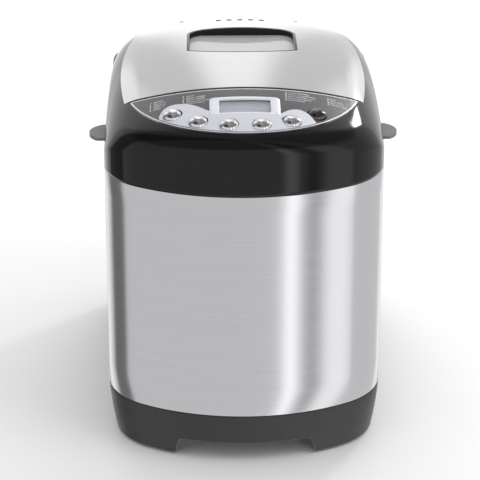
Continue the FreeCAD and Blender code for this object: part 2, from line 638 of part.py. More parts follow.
def chamber():
    body = slab("liner_out", "chamber_half", CHAMBER_HALF, "chamber_r", "chamber_z", "split_z-0.2",
                "0", CHAMBER_Y)
    room = slab("liner_in", "chamber_half-steel", f"{CHAMBER_HALF}-steel", "chamber_r-steel",
                "chamber_z+1", "split_z+1", "0", CHAMBER_Y)
    lip = slab("liner_lip", "chamber_half+7", f"{CHAMBER_HALF}+7", "chamber_r+7", "split_z-wall-1.1",
               "split_z-wall-0.2", "0", CHAMBER_Y)
    ports = [rod("shaft_port", "12", ("0", "axis_y"), ("chamber_z-1", "chamber_z+2")),
             rod("probe_port", "3", ("0", "170"), ("chamber_half-3", "chamber_half+3"), "x")]
    ports += [rod(f"lead_port{side}", "5.5", (f"{side}*lead_x", "element_z"),
                  ("chamber_front-3", "chamber_front+3"), "y") for side in (-1, 1)]
    ports += [rod(f"spacer_port{i}", "clear_r", spot, ("chamber_z-1", "chamber_z+2"))
              for i, spot in enumerate(SPACERS)]
    node("chamber_liner", cut("liner", fuse("liner", body, lip), room, *ports))
    height = "chamber_z-chassis_z-chassis_t"
    sleeve = [("clear_r", "0"), ("6", "0"), ("6", height), ("clear_r", height)]
    sleeves = [turned(f"spacer{i}", sleeve, *spot, "chassis_z+chassis_t") for i, spot in enumerate(SPACERS)]
    node("chamber_spacers", bunch("spacers", sleeves))
    node("temperature_probe", fuse("probe", rod("probe_tip", "2.95", ("0", "170"), ("80", "100"), "x"),
         rod("probe_nut", "6", ("0", "170"), ("chamber_half+0.1", "chamber_half+5"), "x")))


def element():
    side_x, front, rear, lead, bend = "loop_half", "loop_front", "loop_rear", "lead_x", "loop_bend"
    level = "element_z"
    runs = [rod(f"side_run{s}", "element_r", (f"{s}*{side_x}", level),
                (f"{front}+{bend}", f"{rear}-{bend}"), "y") for s in (-1, 1)]
    runs.append(rod("rear_run", "element_r", (rear, level), (f"{bend}-{side_x}", f"{side_x}-{bend}"), "x"))
    runs += [rod("front_run-1", "element_r", (front, level), (f"{bend}-{side_x}", f"-{lead}"), "x"),
             rod("front_run1", "element_r", (front, level), (lead, f"{side_x}-{bend}"), "x")]
    runs += [ring_bend("bend0", f"{side_x}-{bend}", f"{rear}-{bend}", level, 0),
             ring_bend("bend1", f"{bend}-{side_x}", f"{rear}-{bend}", level, 90),
             ring_bend("bend2", f"{bend}-{side_x}", f"{front}+{bend}", level, 180),
             ring_bend("bend3", f"{side_x}-{bend}", f"{front}+{bend}", level, 270)]
    for s in (-1, 1):
        runs.append(rod(f"lead{s}", "element_r", (f"{s}*{lead}", level), ("-73", front), "y"))
        knee = doc.addObject("Part::Sphere", f"knee{s}")
        bind(knee, "Radius", "element_r")
        runs.append(place(knee, f"{s}*{lead}", front, level))
    node("heating_element", fuse("element", *runs))
    bushes = [cut(f"bush{s}", rod(f"bush_out{s}", "5.4", (f"{s}*{lead}", level), ("-69", "-58"), "y"),
                  rod(f"bush_in{s}", "element_r+play", (f"{s}*{lead}", level), ("-70", "-57"), "y"))
              for s in (-1, 1)]
    node("element_bushes", bunch("bushes", bushes))


def chassis():
    edge = [("-plate_half", "plate_bend"), ("-plate_nose", "plate_front"), ("plate_nose", "plate_front"),
            ("plate_half", "plate_bend"), ("plate_half", "plate_rear"), ("-plate_half", "plate_rear")]
    holes = [("clear_r", *spot) for spot in POSTS + SPACERS]
    holes += [("8", "0", "axis_y"), ("12", "0", "motor_y")]
    node("chassis_plate", plate("chassis", edge, "chassis_z", "chassis_z+chassis_t", holes))
    down = [("0", "-14"), ("thread_r", "-14"), ("thread_r", "chassis_t+0.1"), ("4", "chassis_t+0.1"),
            ("4", "chassis_t+2.6"), ("0", "chassis_t+2.6")]
    up = [("0", "-2.6"), ("4", "-2.6"), ("4", "-0.1"), ("thread_r", "-0.1"), ("thread_r", "21"), ("0", "21")]
    screws = [turned(f"post_screw{i}", down, *spot, "chassis_z") for i, spot in enumerate(POSTS)]
    screws += [turned(f"chamber_screw{i}", up, *spot, "chassis_z") for i, spot in enumerate(SPACERS)]
    node("frame_screws", bunch("frame_screw", screws))
    seat = [("8", "0"), ("44", "0"), ("44", "3"), ("40", "3"), ("40", "22"), ("36.3", "22"), ("36.3", "4"),
            ("13", "4"), ("13", "14"), ("8", "14")]
    node("pan_seat", turned("seat", seat, "0", "axis_y", "chamber_z+1.05"))
    bore = "shaft_r+run_fit"
    lower = [(bore, "-4"), ("7.95", "-4"), ("7.95", "2.05"), ("11", "2.05"), ("11", "5"), (bore, "5")]
    upper = [(bore, "0.5"), ("7.95", "0.5"), ("7.95", "14.05"), ("11", "14.05"), ("11", "16"), (bore, "16")]
    plain = [(bore, "0"), ("8.95", "0"), ("8.95", "8"), (bore, "8")]
    bushes = [turned("low_bush", lower, "0", "axis_y", "chassis_z"),
              turned("high_bush", upper, "0", "axis_y", "chamber_z+1.05"),
              turned("motor_low_bush", plain, "0", "motor_y", "chassis_z+chassis_t+0.1"),
              turned("motor_high_bush", plain, "0", "motor_y", "end_z-2")]
    node("shaft_bushes", bunch("bush_row", bushes))


# ---------------------------------------------------------------- motor and belt drive
def motor():
    corners = [(f"{sx}*bolt_at", f"motor_y+{sy}*bolt_at") for sx in (-1, 1) for sy in (-1, 1)]
    core = slab("core_block", "core_half", "core_half", "core_r", "core_low", "core_high", "0", "motor_y")
    bore = rod("core_bore", "core_bore", ("0", "motor_y"), ("core_low-1", "core_high+1"))
    bolts = [rod(f"core_bolt{i}", "clear_r", spot, ("core_low-1", "core_high+1"))
             for i, spot in enumerate(corners)]
    node("motor_stator", cut("core", core, bore, *bolts))
    coil = [("26", "0"), ("28", "7.4"), ("37", "7.4"), ("39", "0")]
    coils = [turned("coil_high", coil, "0", "motor_y", "core_high+0.1"),
             turned("coil_low", coil, "0", "motor_y", "core_low-0.1", ((1, 0, 0), 180))]
    node("motor_coils", bunch("coils", coils))
    frames = []
    foot = "chassis_z+chassis_t+0.05"
    ends = (("low", foot, "chassis_z+6", "chassis_z+5", "core_low-0.1"),
            ("high", "end_z", "end_z+end_t", "core_high+0.1", "end_z+1"))
    for word, low, high, post_low, post_high in ends:
        block = slab(f"{word}_end", "core_half", "core_half", "core_r", low, high, "0", "motor_y")
        legs = [rod(f"{word}_leg{i}", "5", spot, (post_low, post_high)) for i, spot in enumerate(corners)]
        through = ("chassis_z+chassis_t", "end_z+end_t+1")
        bolts = [rod(f"{word}_bolt{i}", "clear_r", spot, through) for i, spot in enumerate(corners)]
        seat = rod(f"{word}_bore", "9", ("0", "motor_y"), through)
        frames.append(cut(f"{word}_frame", fuse(f"{word}_frame", block, *legs), seat, *bolts))
    node("motor_frame", bunch("frames", frames))
    bolt = [("0", "66"), ("2", "66"), ("2", "end_z+end_t+0.1"), ("3.6", "end_z+end_t+0.1"),
            ("3.6", "end_z+end_t+3"), ("0", "end_z+end_t+3")]
    node("motor_screws", bunch("motor_bolts", [turned(f"motor_bolt{i}", bolt, *spot)
                                               for i, spot in enumerate(corners)]))
    rotor = [("0", "34"), ("shaft_r", "34"), ("shaft_r", "core_low"), ("rotor_r", "core_low"),
             ("rotor_r", "core_high"), ("shaft_r", "core_high"), ("shaft_r", "fan_z+10"), ("0", "fan_z+10")]
    node("motor_rotor", turned("rotor", rotor, "0", "motor_y"))
    hub = turned("fan_hub", [("shaft_r", "0"), ("9", "0"), ("9", "9"), ("shaft_r", "9")], "0", "motor_y",
                 "fan_z")
    blades, blade_count = [], 7
    for i in range(blade_count):
        blade = doc.addObject("Part::Box", f"fan_blade{i}")
        blade.Length, blade.Width, blade.Height = 22, 1.4, 8
        turn = 360 * i / blade_count
        x, y = 8.5 * math.cos(math.radians(turn)), 8.5 * math.sin(math.radians(turn))
        blades.append(place(blade, x, f"motor_y+({y})", "fan_z+0.5", ((0, 0, 1), turn)))
    node("motor_fan", fuse("fan", hub, *blades))


def groove(outer, bore, web):
    """A pulley's profile: a hub, a thin web and a rim with a groove for the belt."""
    profile = [(bore, "-2"), (f"{bore}+5", "-2"), (f"{bore}+5", "3.5")] if web else [(bore, "-2")]
    profile += [(web, "3.5"), (web, "0")] if web else [(outer, "-2")]
    profile += [(outer, "0"), (outer, "1.5"), (f"{outer}-belt_t", "3"), (f"{outer}-belt_t", "7"),
                (outer, "8.5"), (outer, "10")]
    if not web:
        profile.remove((outer, "0"))
    profile += [(web, "10"), (web, "6.5"), (f"{bore}+5", "6.5"), (f"{bore}+5", "12")] if web else []
    return profile + [(bore, "12" if web else "10")]


def belt_loop(name, grow):
    """The belt's run round both pulleys at a distance off their groove floors."""
    large, small = num(f"large_r-belt_t+{grow}"), num(f"small_r-belt_t+{grow}")
    far, near = num("axis_y"), num("motor_y")
    lean = math.asin((large - small) / (far - near))
    big = Part.ArcOfCircle(Part.Circle(V(0, far, 0), V(0, 0, 1), large), -lean, math.pi + lean)
    little = Part.ArcOfCircle(Part.Circle(V(0, near, 0), V(0, 0, 1), small),
                              math.pi + lean, 2 * math.pi - lean)
    sketch = flat_sketch(name)
    sketch.addGeometry(big)
    sketch.addGeometry(Part.LineSegment(big.EndPoint, little.StartPoint))
    sketch.addGeometry(little)
    sketch.addGeometry(Part.LineSegment(little.EndPoint, big.StartPoint))
    for index in range(4):
        sketch.addConstraint(Constraint("Tangent", index, 2, (index + 1) % 4, 1))
    datum(sketch, Constraint("Radius", 0, large), f"large_r-belt_t+{grow}")
    datum(sketch, Constraint("Radius", 2, small), f"small_r-belt_t+{grow}")
    pin_point(sketch, 0, 3, "0", "axis_y")
    pin_point(sketch, 2, 3, "0", "motor_y")
    return sketch


def drive():
    node("drive_shaft", rod("shaft", "shaft_r", ("0", "axis_y"), ("33", "chamber_z+21")))
    node("large_pulley", turned("big_pulley", groove("large_r", "shaft_r", "large_r-8"), "0", "axis_y",
                                "pulley_z"))
    node("small_pulley", turned("little_pulley", groove("small_r", "shaft_r", ""), "0", "motor_y",
                                "pulley_z"))
    node("drive_belt", cut("belt", raise_up("belt_out", belt_loop("belt_far", "1.7"), "pulley_z+3.4",
         "pulley_top-3.4"), raise_up("belt_in", belt_loop("belt_near", "0.3"), "pulley_z", "pulley_top")))
    dog = turned("dog_low", [("shaft_r", "0"), ("14", "0"), ("14", "4"), ("shaft_r", "4")], "0", "axis_y",
                 "93")
    lugs = [box(f"low_lug{s}", (f"{s}*10.5-2.5", f"{s}*10.5+2.5"), ("axis_y-4", "axis_y+4"), ("96", "103"))
            for s in (-1, 1)]
    node("lower_coupling", fuse("low_dog", dog, *lugs))
    dog = turned("dog_high", [("shaft_r", "0"), ("14", "0"), ("14", "3"), ("shaft_r", "3")], "0", "axis_y",
                 "103.4")
    lugs = [box(f"high_lug{s}", ("-4", "4"), (f"axis_y+{s}*10.5-2.5", f"axis_y+{s}*10.5+2.5"),
                ("97.6", "104")) for s in (-1, 1)]
    node("upper_coupling", fuse("high_dog", dog, *lugs))


# ---------------------------------------------------------------- bread pan
def pan():
    body = slab("pan_out", "pan_half_x", "pan_half_y", "pan_r", "pan_z", "pan_top", "0", "axis_y")
    rim = slab("pan_rim", "pan_half_x+2.5", "pan_half_y+2.5", "pan_r+2.5", "pan_top-2.5", "pan_top",
               "0", "axis_y")
    room = slab("pan_in", "pan_half_x-pan_wall", "pan_half_y-pan_wall", "pan_r-pan_wall",
                "pan_z+pan_wall", "pan_top+1", "0", "axis_y")
    ears = [box(f"ear{s}", (f"{s}*(pan_half_x+1)-1.2", f"{s}*(pan_half_x+1)+1.2"),
                ("axis_y-7", "axis_y+7"), ("handle_z-8", "handle_z+5")) for s in (-1, 1)]
    pivots = [rod(f"ear_bore{s}", "handle_r+0.1", ("axis_y", "handle_z"),
                  (f"{s}*(pan_half_x+1.5)-1.6", f"{s}*(pan_half_x+1.5)+1.6"), "x") for s in (-1, 1)]
    floor = rod("pan_port", "7", ("0", "axis_y"), ("pan_z-1", "pan_z+3"))
    node("bread_pan", cut("pan", fuse("pan", body, rim, *ears), room, floor, *pivots))
    foot = [("31", "chamber_z+6"), ("35.9", "chamber_z+6"), ("35.9", "pan_z-3"), ("40", "pan_z-2"),
            ("40", "pan_z"), ("31", "pan_z")]
    node("pan_foot", turned("foot_ring", foot, "0", "axis_y"))
    bore = "shaft_r+run_fit"
    bush = [(bore, "-3.2"), ("11", "-3.2"), ("11", "0"), ("6.95", "0"), ("6.95", "6"), (bore, "6")]
    node("pan_bearing", turned("pan_bush", bush, "0", "axis_y", "pan_z"))
    node("pan_shaft", rod("kneader_shaft", "shaft_r", ("0", "axis_y"), ("103.4", "136")))
    cap = [(bore, "0"), ("10", "0"), ("9", "17"), ("7", "20"), ("0", "20"), ("0", "17.5"), (bore, "17.5")]
    hub = turned("paddle_hub", cap, "0", "axis_y", "118.6")
    blade = fuse("blade", box("blade_web", ("5", "42"), ("axis_y-2.5", "axis_y+2.5"), ("116", "138")),
                 rod("blade_tip", "11", ("42", "127"), ("axis_y-2.5", "axis_y+2.5"), "y"))
    blade = cut("blade_end", blade, rod("blade_bore", "6", ("0", "axis_y"), ("115", "136")),
                rod("bush_room", "9", ("0", "axis_y"), ("115", "118.6")))
    node("kneading_paddle", fuse("paddle", hub, blade))
    bail()


def bail():
    """The pan's handle: a wire bail laid back on the rim, drawn about its own pivot."""
    bend = 12
    wire = [rod("bail_bar", "handle_r", ("handle_arm", "0"), (f"{bend}-handle_x", f"handle_x-{bend}"), "x")]
    for s, start in ((1, 0), (-1, 90)):
        wire.append(rod(f"bail_arm{s}", "handle_r", (f"{s}*handle_x", "0"), ("0", f"handle_arm-{bend}"), "y"))
        low, high = (f"{s}*handle_x", "pan_half_x+0.1") if s < 0 else ("pan_half_x+0.1", "handle_x")
        span = (low, f"-({high})") if s < 0 else (low, high)
        wire.append(rod(f"bail_pivot{s}", "handle_r", ("0", "0"), span, "x"))
        ball = doc.addObject("Part::Sphere", f"bail_ball{s}")
        bind(ball, "Radius", "handle_r")
        wire.append(place(ball, f"{s}*handle_x"))
        corner = doc.addObject("Part::Torus", f"bail_bend{s}")
        corner.Radius1, corner.Angle3 = bend, 90
        bind(corner, "Radius2", "handle_r")
        wire.append(place(corner, f"{s}*(handle_x-{bend})", f"handle_arm-{bend}", "0", ((0, 0, 1), start)))
    whole = fuse("bail", *wire)
    node("pan_handle", place(whole, "0", "axis_y", "handle_z", ((1, 0, 0), num("handle_rest"))))


# ---------------------------------------------------------------- power electronics
def electronics():
    board = box("power_sheet", ("-power_half", "power_half"), ("power_y", "power_y+1.6"),
                ("power_low", "power_high"))
    feet = [rod(f"board_foot{side}_{i}", "3", (f"{side}*(power_half-6)", z),
                ("power_y+1.6", "chamber_front-0.1"), "y")
            for side in (-1, 1) for i, z in enumerate(("power_low+6", "power_high-6"))]
    node("power_board", fuse("power", board, *feet))
    node("run_capacitor", rod("capacitor", "capacitor_r", ("power_y-capacitor_r-0.2", "205"),
                              ("-52", "-8"), "x"))
    node("transformer", fuse("transformer", box("core_iron", ("8", "44"), ("power_y-32", "power_y-0.1"),
                                                 ("172", "206")),
         box("winding", ("12", "40"), ("power_y-36", "power_y-4"), ("176", "202"))))


# ---------------------------------------------------------------- lid
LID_SCREWS = (("-105", "-20"), ("105", "-20"), ("-105", "105"), ("105", "105"))


def window(name, inset, low, high):
    """The viewing window's outline, drawn in by inset: round corners and a bowed front edge."""
    block = slab(name, f"window_half-({inset})", f"(window_rear-window_front)/2-({inset})",
                 f"window_r-({inset})", low, high, "0", "(window_rear+window_front)/2")
    bow = rod(name + "_bow", f"window_bow-({inset})", ("0", "window_front+window_bow"), (low, high))
    return common(name, block, bow)


def skin_plan(name):
    sides = [rod(f"{name}_side{s}", "skin_r", (f"{s}*(skin_half-skin_r)", "skin_mid"), ("240", "340"))
             for s in (-1, 1)]
    return common(name, *sides, upper_zone(name + "_zone", "-150", "skin_rear", "240", "lid_gap+1.2"))


def vent_slots(name, grow, low):
    return [box(f"{name}{i}", (f"{i}*9.6-2.4-({grow})", f"{i}*9.6+2.4+({grow})"),
                (f"vent_y-5-({grow})", f"vent_y+5+({grow})"), (low, "330")) for i in range(-2, 3)]


def lid():
    outer = common("lid_outer", envelope("lid_hull", "0", "lid_sill"),
                   upper_zone("lid_zone", "-150", "lid_rear", "lid_sill", "lid_gap"))
    inner = common("lid_inner", envelope("lid_hull_in", "wall", "240"),
                   upper_zone("lid_room", "-150", "lid_rear-wall", "240", "lid_gap+wall"))
    arms = [fuse(f"knuckle{s}", box(f"arm{s}", (f"{s}*knuckle_x-knuckle_half", f"{s}*knuckle_x+knuckle_half"),
                 ("lid_rear-1", "hinge_y"), ("hinge_z-knuckle_r", "hinge_z+3")),
                 rod(f"eye{s}", "knuckle_r", ("hinge_y", "hinge_z"),
                     (f"{s}*knuckle_x-knuckle_half", f"{s}*knuckle_x+knuckle_half"), "x")) for s in (-1, 1)]
    bosses = [common(f"lid_boss{i}", rod(f"boss_rod{i}", "4", spot, ("lid_sill", "300")),
                     envelope(f"boss_top{i}", "1", "240")) for i, spot in enumerate(LID_SCREWS)]
    bores = [rod(f"boss_bore{i}", "1.6", spot, ("lid_sill-1", "262")) for i, spot in enumerate(LID_SCREWS)]
    eyes = [rod(f"eye_bore{s}", "hinge_pin_r+0.06", ("hinge_y", "hinge_z"),
                (f"{s}*knuckle_x-12", f"{s}*knuckle_x+12"), "x") for s in (-1, 1)]
    inset = common("skin_seat", layer("seat_layer", "-1", "steel+play"), skin_plan("seat_plan"))
    shell = fuse("lid_body", cut("lid_body", outer, inner), *arms, *bosses)
    node("lid_shell", cut("lid_shell", shell, inset, window("shell_port", "-play", "280", "330"),
                          *vent_slots("shell_vent", "0", "280"), *bores, *eyes))
    skin = common("skin", layer("skin_layer", "0", "steel"), skin_plan("skin_shape"))
    node("lid_skin", cut("skin_open", skin, window("skin_port", "-play", "280", "330"),
                         *vent_slots("skin_vent", "-0.2", "280")))
    ring = cut("ring", window("ring_out", "0", "292", "330"), window("ring_in", "2.2", "296.9", "331"),
               window("ring_view", "6", "280", "331"))
    node("window_bezel", common("ring_trim", ring, crown("ring_top", "0.2")))
    panes = [window("outer_pane", "2.3", "pane_z", "pane_z+3"),
             slab("inner_pane", "window_half", "(window_rear-window_front)/2", "window_r", "dome_z+0.1",
                  "dome_z+3", "0", "(window_rear+window_front)/2")]
    node("window_glass", bunch("panes", panes))
    lid_underside()


def lid_underside():
    mid, half = "(dome_front+dome_rear)/2", "(dome_rear-dome_front)/2"
    dome = slab("dome_out", "dome_half", half, "dome_r", "lid_sill", "dome_z", "0", mid)
    brim = slab("dome_brim", "dome_half+9", f"{half}+8", "dome_r+8", "lid_sill", "lid_sill+0.8", "0", mid)
    room = slab("dome_in", "dome_half-steel", f"{half}-steel", "dome_r-steel", "240", "dome_z-steel",
                "0", mid)
    view = slab("dome_view", "window_half-8", "(window_rear-window_front)/2-8", "8", "260", "290", "0",
                "(window_rear+window_front)/2")
    vent = box("dome_vent", ("-22", "22"), ("vent_y-4", "vent_y+4"), ("260", "290"))
    node("lid_liner", cut("dome", fuse("dome", dome, brim), room, view, vent))
    plan = wall_block("sill_plan", "0", "sill_low", "lid_sill")
    tabs = [rod(f"tab{s}", "tab_r", (f"{s}*tab_x", "tab_y"), ("sill_low", "lid_sill")) for s in (-1, 1)]
    zone = upper_zone("sill_zone", "-150", "lid_rear", "split_z", "lid_gap")
    opening = slab("sill_port", "dome_half+1", f"{half}+1", "dome_r+1", "240", "260", "0", mid)
    groove_out = slab("seal_out", "chamber_half+seal_far", f"{CHAMBER_HALF}+seal_far-7.5",
                      "chamber_r+seal_far-0.5", "240", "seal_top", "0", CHAMBER_Y)
    groove_in = slab("seal_in", "chamber_half+seal_near", f"{CHAMBER_HALF}+seal_near-7.5",
                     "chamber_r+seal_near", "240", "seal_top", "0", CHAMBER_Y)
    gaps = [rod(f"head{i}", "3.3", spot, ("240", "250.3")) for i, spot in enumerate(LID_SCREWS)]
    gaps += [rod(f"shank{i}", "1.6", spot, ("240", "260")) for i, spot in enumerate(LID_SCREWS)]
    sill = common("sill", fuse("sill", plan, *tabs), zone)
    node("lid_frame", cut("sill_open", sill, opening, cut("seal_gap", groove_out, groove_in), *gaps))
    ring_out = slab("seal_ring_out", "chamber_half+seal_far-0.1", f"{CHAMBER_HALF}+seal_far-7.6",
                    "chamber_r+seal_far-0.6", "split_z+0.3", "seal_top-0.1", "0", CHAMBER_Y)
    ring_in = slab("seal_ring_in", "chamber_half+seal_near+0.1", f"{CHAMBER_HALF}+seal_near-7.4",
                   "chamber_r+seal_near+0.1", "240", "260", "0", CHAMBER_Y)
    node("lid_seal", cut("seal_ring", ring_out, ring_in))
    duct = box("duct_out", ("-27", "27"), ("vent_y-7", "vent_y+7"), ("dome_z+0.1", "292.6"))
    node("vent_insert", cut("duct", duct, box("duct_in", ("-25", "25"), ("vent_y-5.4", "vent_y+5.4"),
                                             ("dome_z", "295"))))
    screw = [("0", "248.7"), ("3.1", "248.7"), ("3.1", "seal_top"), ("1.5", "seal_top"), ("1.5", "261"),
             ("0", "261")]
    node("lid_screws", bunch("lid_screw", [turned(f"lid_screw{i}", screw, *spot)
                                           for i, spot in enumerate(LID_SCREWS)]))


# ---------------------------------------------------------------- build, check and write
base()
wrap()
housing()
panel()
keys()
chamber()
element()
chassis()
motor()
drive()
pan()
electronics()
lid()
doc.recompute()

faults = [thing.Name for thing in doc.Objects if {"Invalid", "Error"} & set(thing.State)]
for label, thing in parts.items():
    shape = thing.Shape
    if shape.isNull() or not shape.isValid() or not shape.Solids:
        faults.append(label)
if faults:
    raise SystemExit("failed: " + ", ".join(faults))
os.makedirs("parts", exist_ok=True)
for label, thing in parts.items():
    thing.Shape.exportStep(f"parts/{label}.step")
    print(f"{label}: {len(thing.Shape.Solids)} solids, {thing.Shape.Volume / 1000:.1f} cm3")
print(len(parts), "nodes")
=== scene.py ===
"""Bread machine: the finish and the formed skins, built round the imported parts."""

import math

import bmesh
import bpy
import numpy as np
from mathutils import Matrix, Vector


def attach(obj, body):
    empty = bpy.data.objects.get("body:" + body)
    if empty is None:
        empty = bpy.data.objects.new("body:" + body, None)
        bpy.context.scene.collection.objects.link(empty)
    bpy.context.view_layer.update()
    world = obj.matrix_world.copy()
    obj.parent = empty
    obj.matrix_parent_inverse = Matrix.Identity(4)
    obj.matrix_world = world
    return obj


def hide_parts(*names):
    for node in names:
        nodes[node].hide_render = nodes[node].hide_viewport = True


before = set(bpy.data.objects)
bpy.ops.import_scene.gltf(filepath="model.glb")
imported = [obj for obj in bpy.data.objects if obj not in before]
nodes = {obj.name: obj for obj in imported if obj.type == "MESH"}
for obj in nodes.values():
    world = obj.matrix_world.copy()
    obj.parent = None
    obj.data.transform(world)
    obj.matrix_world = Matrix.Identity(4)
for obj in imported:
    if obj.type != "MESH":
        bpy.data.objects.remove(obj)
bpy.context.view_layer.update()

# ---------------------------------------------------------------- camera, floor and studio
# A long lens a little above the machine, a pale floor to stand on, and soft boxes round it.
# What gloss and metal mirror is the studio's ring of pale walls, dark gaps and bright boxes.
camera_data = bpy.data.cameras.new("camera")
camera_data.lens = 167.8
camera_data.sensor_width = 36
camera = bpy.data.objects.new("camera", camera_data)
camera.location = (-0.0349, -1.8165, 0.9122)
camera.rotation_euler = (math.radians(66.62), 0, math.radians(-1.05))
bpy.context.scene.collection.objects.link(camera)
bpy.context.scene.camera = camera
bpy.context.scene.view_settings.view_transform = "Standard"


def new_material(name):
    """A material with node tree, its Principled shader and its output."""
    material = bpy.data.materials.new(name)
    material.use_nodes = True
    tree = material.node_tree
    return material, tree, tree.nodes["Principled BSDF"]


def node(tree, kind, values=(), **settings):
    """A shader node with settings made and unlinked inputs filled by name."""
    made = tree.nodes.new("ShaderNode" + kind)
    for name, value in settings.items():
        setattr(made, name, value)
    for name, value in dict(values).items():
        made.inputs[name].default_value = value
    return made


def grey(level):
    return (level, level, level, 1)


def put_mesh(name, points, faces, smooth=True):
    """A mesh object at the origin from metre coordinates and quads. Points that no quad uses,
    such as those inside a cut opening, are left out."""
    used, quads = np.unique(faces, return_inverse=True)
    mesh = bpy.data.meshes.new(name)
    mesh.from_pydata(points.reshape(-1, 3)[used], [], quads.reshape(-1, 4).tolist())
    mesh.polygons.foreach_set("use_smooth", np.full(len(mesh.polygons), smooth))
    mesh.update()
    piece = bpy.data.objects.new(name, mesh)
    bpy.context.scene.collection.objects.link(piece)
    return piece


floor_half = 8.0
floor_corners = np.array([(-1, -1, 0), (1, -1, 0), (1, 1, 0), (-1, 1, 0)]) * floor_half
floor = put_mesh("floor", floor_corners, np.array([[0, 1, 2, 3]]), smooth=False)
floor.visible_glossy = False
floor_material, tree, shader = new_material("studio_paper")
shader.inputs["Base Color"].default_value = grey(0.93)
shader.inputs["Roughness"].default_value = 0.9
shader.inputs["Specular IOR Level"].default_value = 0.1
floor.data.materials.append(floor_material)

world = bpy.data.worlds.new("studio")
bpy.context.scene.world = world
world.use_nodes = True
tree = world.node_tree
tree.nodes.clear()
place = node(tree, "TexCoord")
split = node(tree, "SeparateXYZ")
turned = node(tree, "Math", {1: -1}, operation="MULTIPLY")
azimuth = node(tree, "Math", operation="ARCTAN2")
share = node(tree, "Math", {1: 1 / (2 * math.pi), 2: 0.5}, operation="MULTIPLY_ADD")
ring = node(tree, "ValToRGB")
tree.links.new(place.outputs["Generated"], split.inputs[0])
tree.links.new(split.outputs["Y"], turned.inputs[0])
tree.links.new(split.outputs["X"], azimuth.inputs[0])
tree.links.new(turned.outputs[0], azimuth.inputs[1])
tree.links.new(azimuth.outputs[0], share.inputs[0])
tree.links.new(share.outputs[0], ring.inputs[0])
# The studio by bearing from the front, right side positive: middle, half width and brightness.
wall_level, rear_level, rear_half, edge_blur = 0.8, 1.3, 4, 4
studio = {"left_rear_box": (-152, 8, 1.15), "left_flag": (-112, 16, 0.2), "window": (28, 2, 2.0),
          "right_flag": (41, 2, 0.4), "right_box": (58, 7, 1.4), "right_rear_box": (152, 8, 1.15)}
walls = [(-180, rear_level), (rear_half - 180, rear_level), (rear_half + edge_blur - 180, wall_level)]
for middle, half, bright in studio.values():
    walls += [(middle - half - edge_blur, wall_level), (middle - half, bright),
              (middle + half, bright), (middle + half + edge_blur, wall_level)]
walls += [(180 - rear_half - edge_blur, wall_level), (180 - rear_half, rear_level), (180, rear_level)]
stops = ring.color_ramp.elements
while len(stops) < len(walls):
    stops.new(0.5)
for stop, (bearing, brightness) in zip(stops, walls):
    stop.position = bearing / 360 + 0.5
    stop.color = grey(brightness)
low_rise = node(tree, "MapRange", {"From Min": 0.62, "From Max": 0.76, "To Min": 1.0, "To Max": 0.32})
dimmed = node(tree, "VectorMath", operation="SCALE")
tree.links.new(split.outputs["Z"], low_rise.inputs["Value"])
tree.links.new(low_rise.outputs["Result"], dimmed.inputs["Scale"])
tree.links.new(ring.outputs[0], dimmed.inputs[0])
mirrored = node(tree, "Background", {"Strength": 1})
plain = node(tree, "Background", {"Color": grey(0.93), "Strength": 1})
soft = node(tree, "Background", {"Color": grey(0.9), "Strength": 0.9})
path = node(tree, "LightPath")
seen = node(tree, "MixShader")
both = node(tree, "MixShader")
output = node(tree, "OutputWorld")
tree.links.new(dimmed.outputs[0], mirrored.inputs["Color"])
tree.links.new(path.outputs["Is Camera Ray"], seen.inputs[0])
tree.links.new(soft.outputs[0], seen.inputs[1])
tree.links.new(plain.outputs[0], seen.inputs[2])
tree.links.new(path.outputs["Is Glossy Ray"], both.inputs[0])
tree.links.new(seen.outputs[0], both.inputs[1])
tree.links.new(mirrored.outputs[0], both.inputs[2])
tree.links.new(both.outputs[0], output.inputs[0])


def soft_box(name, place, aim, width, height, power, mirrored=True):
    """A rectangular studio lamp turned to face a point, seen in gloss only where mirrored."""
    lamp = bpy.data.lights.new(name, "AREA")
    lamp.shape = "RECTANGLE"
    lamp.size, lamp.size_y, lamp.energy = width, height, power
    holder = bpy.data.objects.new(name, lamp)
    holder.location = place
    holder.rotation_euler = (Vector(aim) - Vector(place)).to_track_quat("-Z", "Y").to_euler()
    holder.visible_camera = False
    holder.visible_glossy = mirrored
    bpy.context.scene.collection.objects.link(holder)


soft_box("key_lamp", (1.15, -0.75, 1.55), (0, 0, 0.15), 1.0, 1.0, 6, False)
soft_box("strip_lamp", (0.78, 1.02, 1.1), (0.09, -0.12, 0.28), 0.19, 0.36, 4.4)
soft_box("overhead_lamp", (0, 1.35, 1.7), (0, 0, 0.2), 1.6, 1.25, 11, False)

# ---------------------------------------------------------------- base tub and feet
# The tub that everything stands in: satin black plastic, moulded, drawn in towards the bottom
# with a soft lower edge. A finger scoop is moulded into its front, and four feet plug in below.
mm = 0.001
half_w, front_r, corner_r, rear_r = 115, 165, 60, 45
front_hub, corner_hub_x, rear_hub = -12.5, 55, (70, 132.5)
corner_hub_y = front_hub - math.sqrt((front_r - corner_r) ** 2 - corner_hub_x ** 2)
front_half_angle = math.atan2(corner_hub_x, front_hub - corner_hub_y)
port_half = 62
bow_steps, corner_steps, side_steps, rear_steps, port_steps, edge_steps = 120, 60, 60, 40, 40, 2


def arc(hub, radius, start, end, count):
    """Points on a circle about hub from angle start up to, but not at, angle end."""
    angle = np.linspace(start, end, count, endpoint=False)
    return np.c_[hub[0] + radius * np.cos(angle), hub[1] + radius * np.sin(angle)]


def straight(start, end, count):
    """Evenly spaced points from start up to, but not at, end."""
    return np.linspace(start, end, count, endpoint=False)


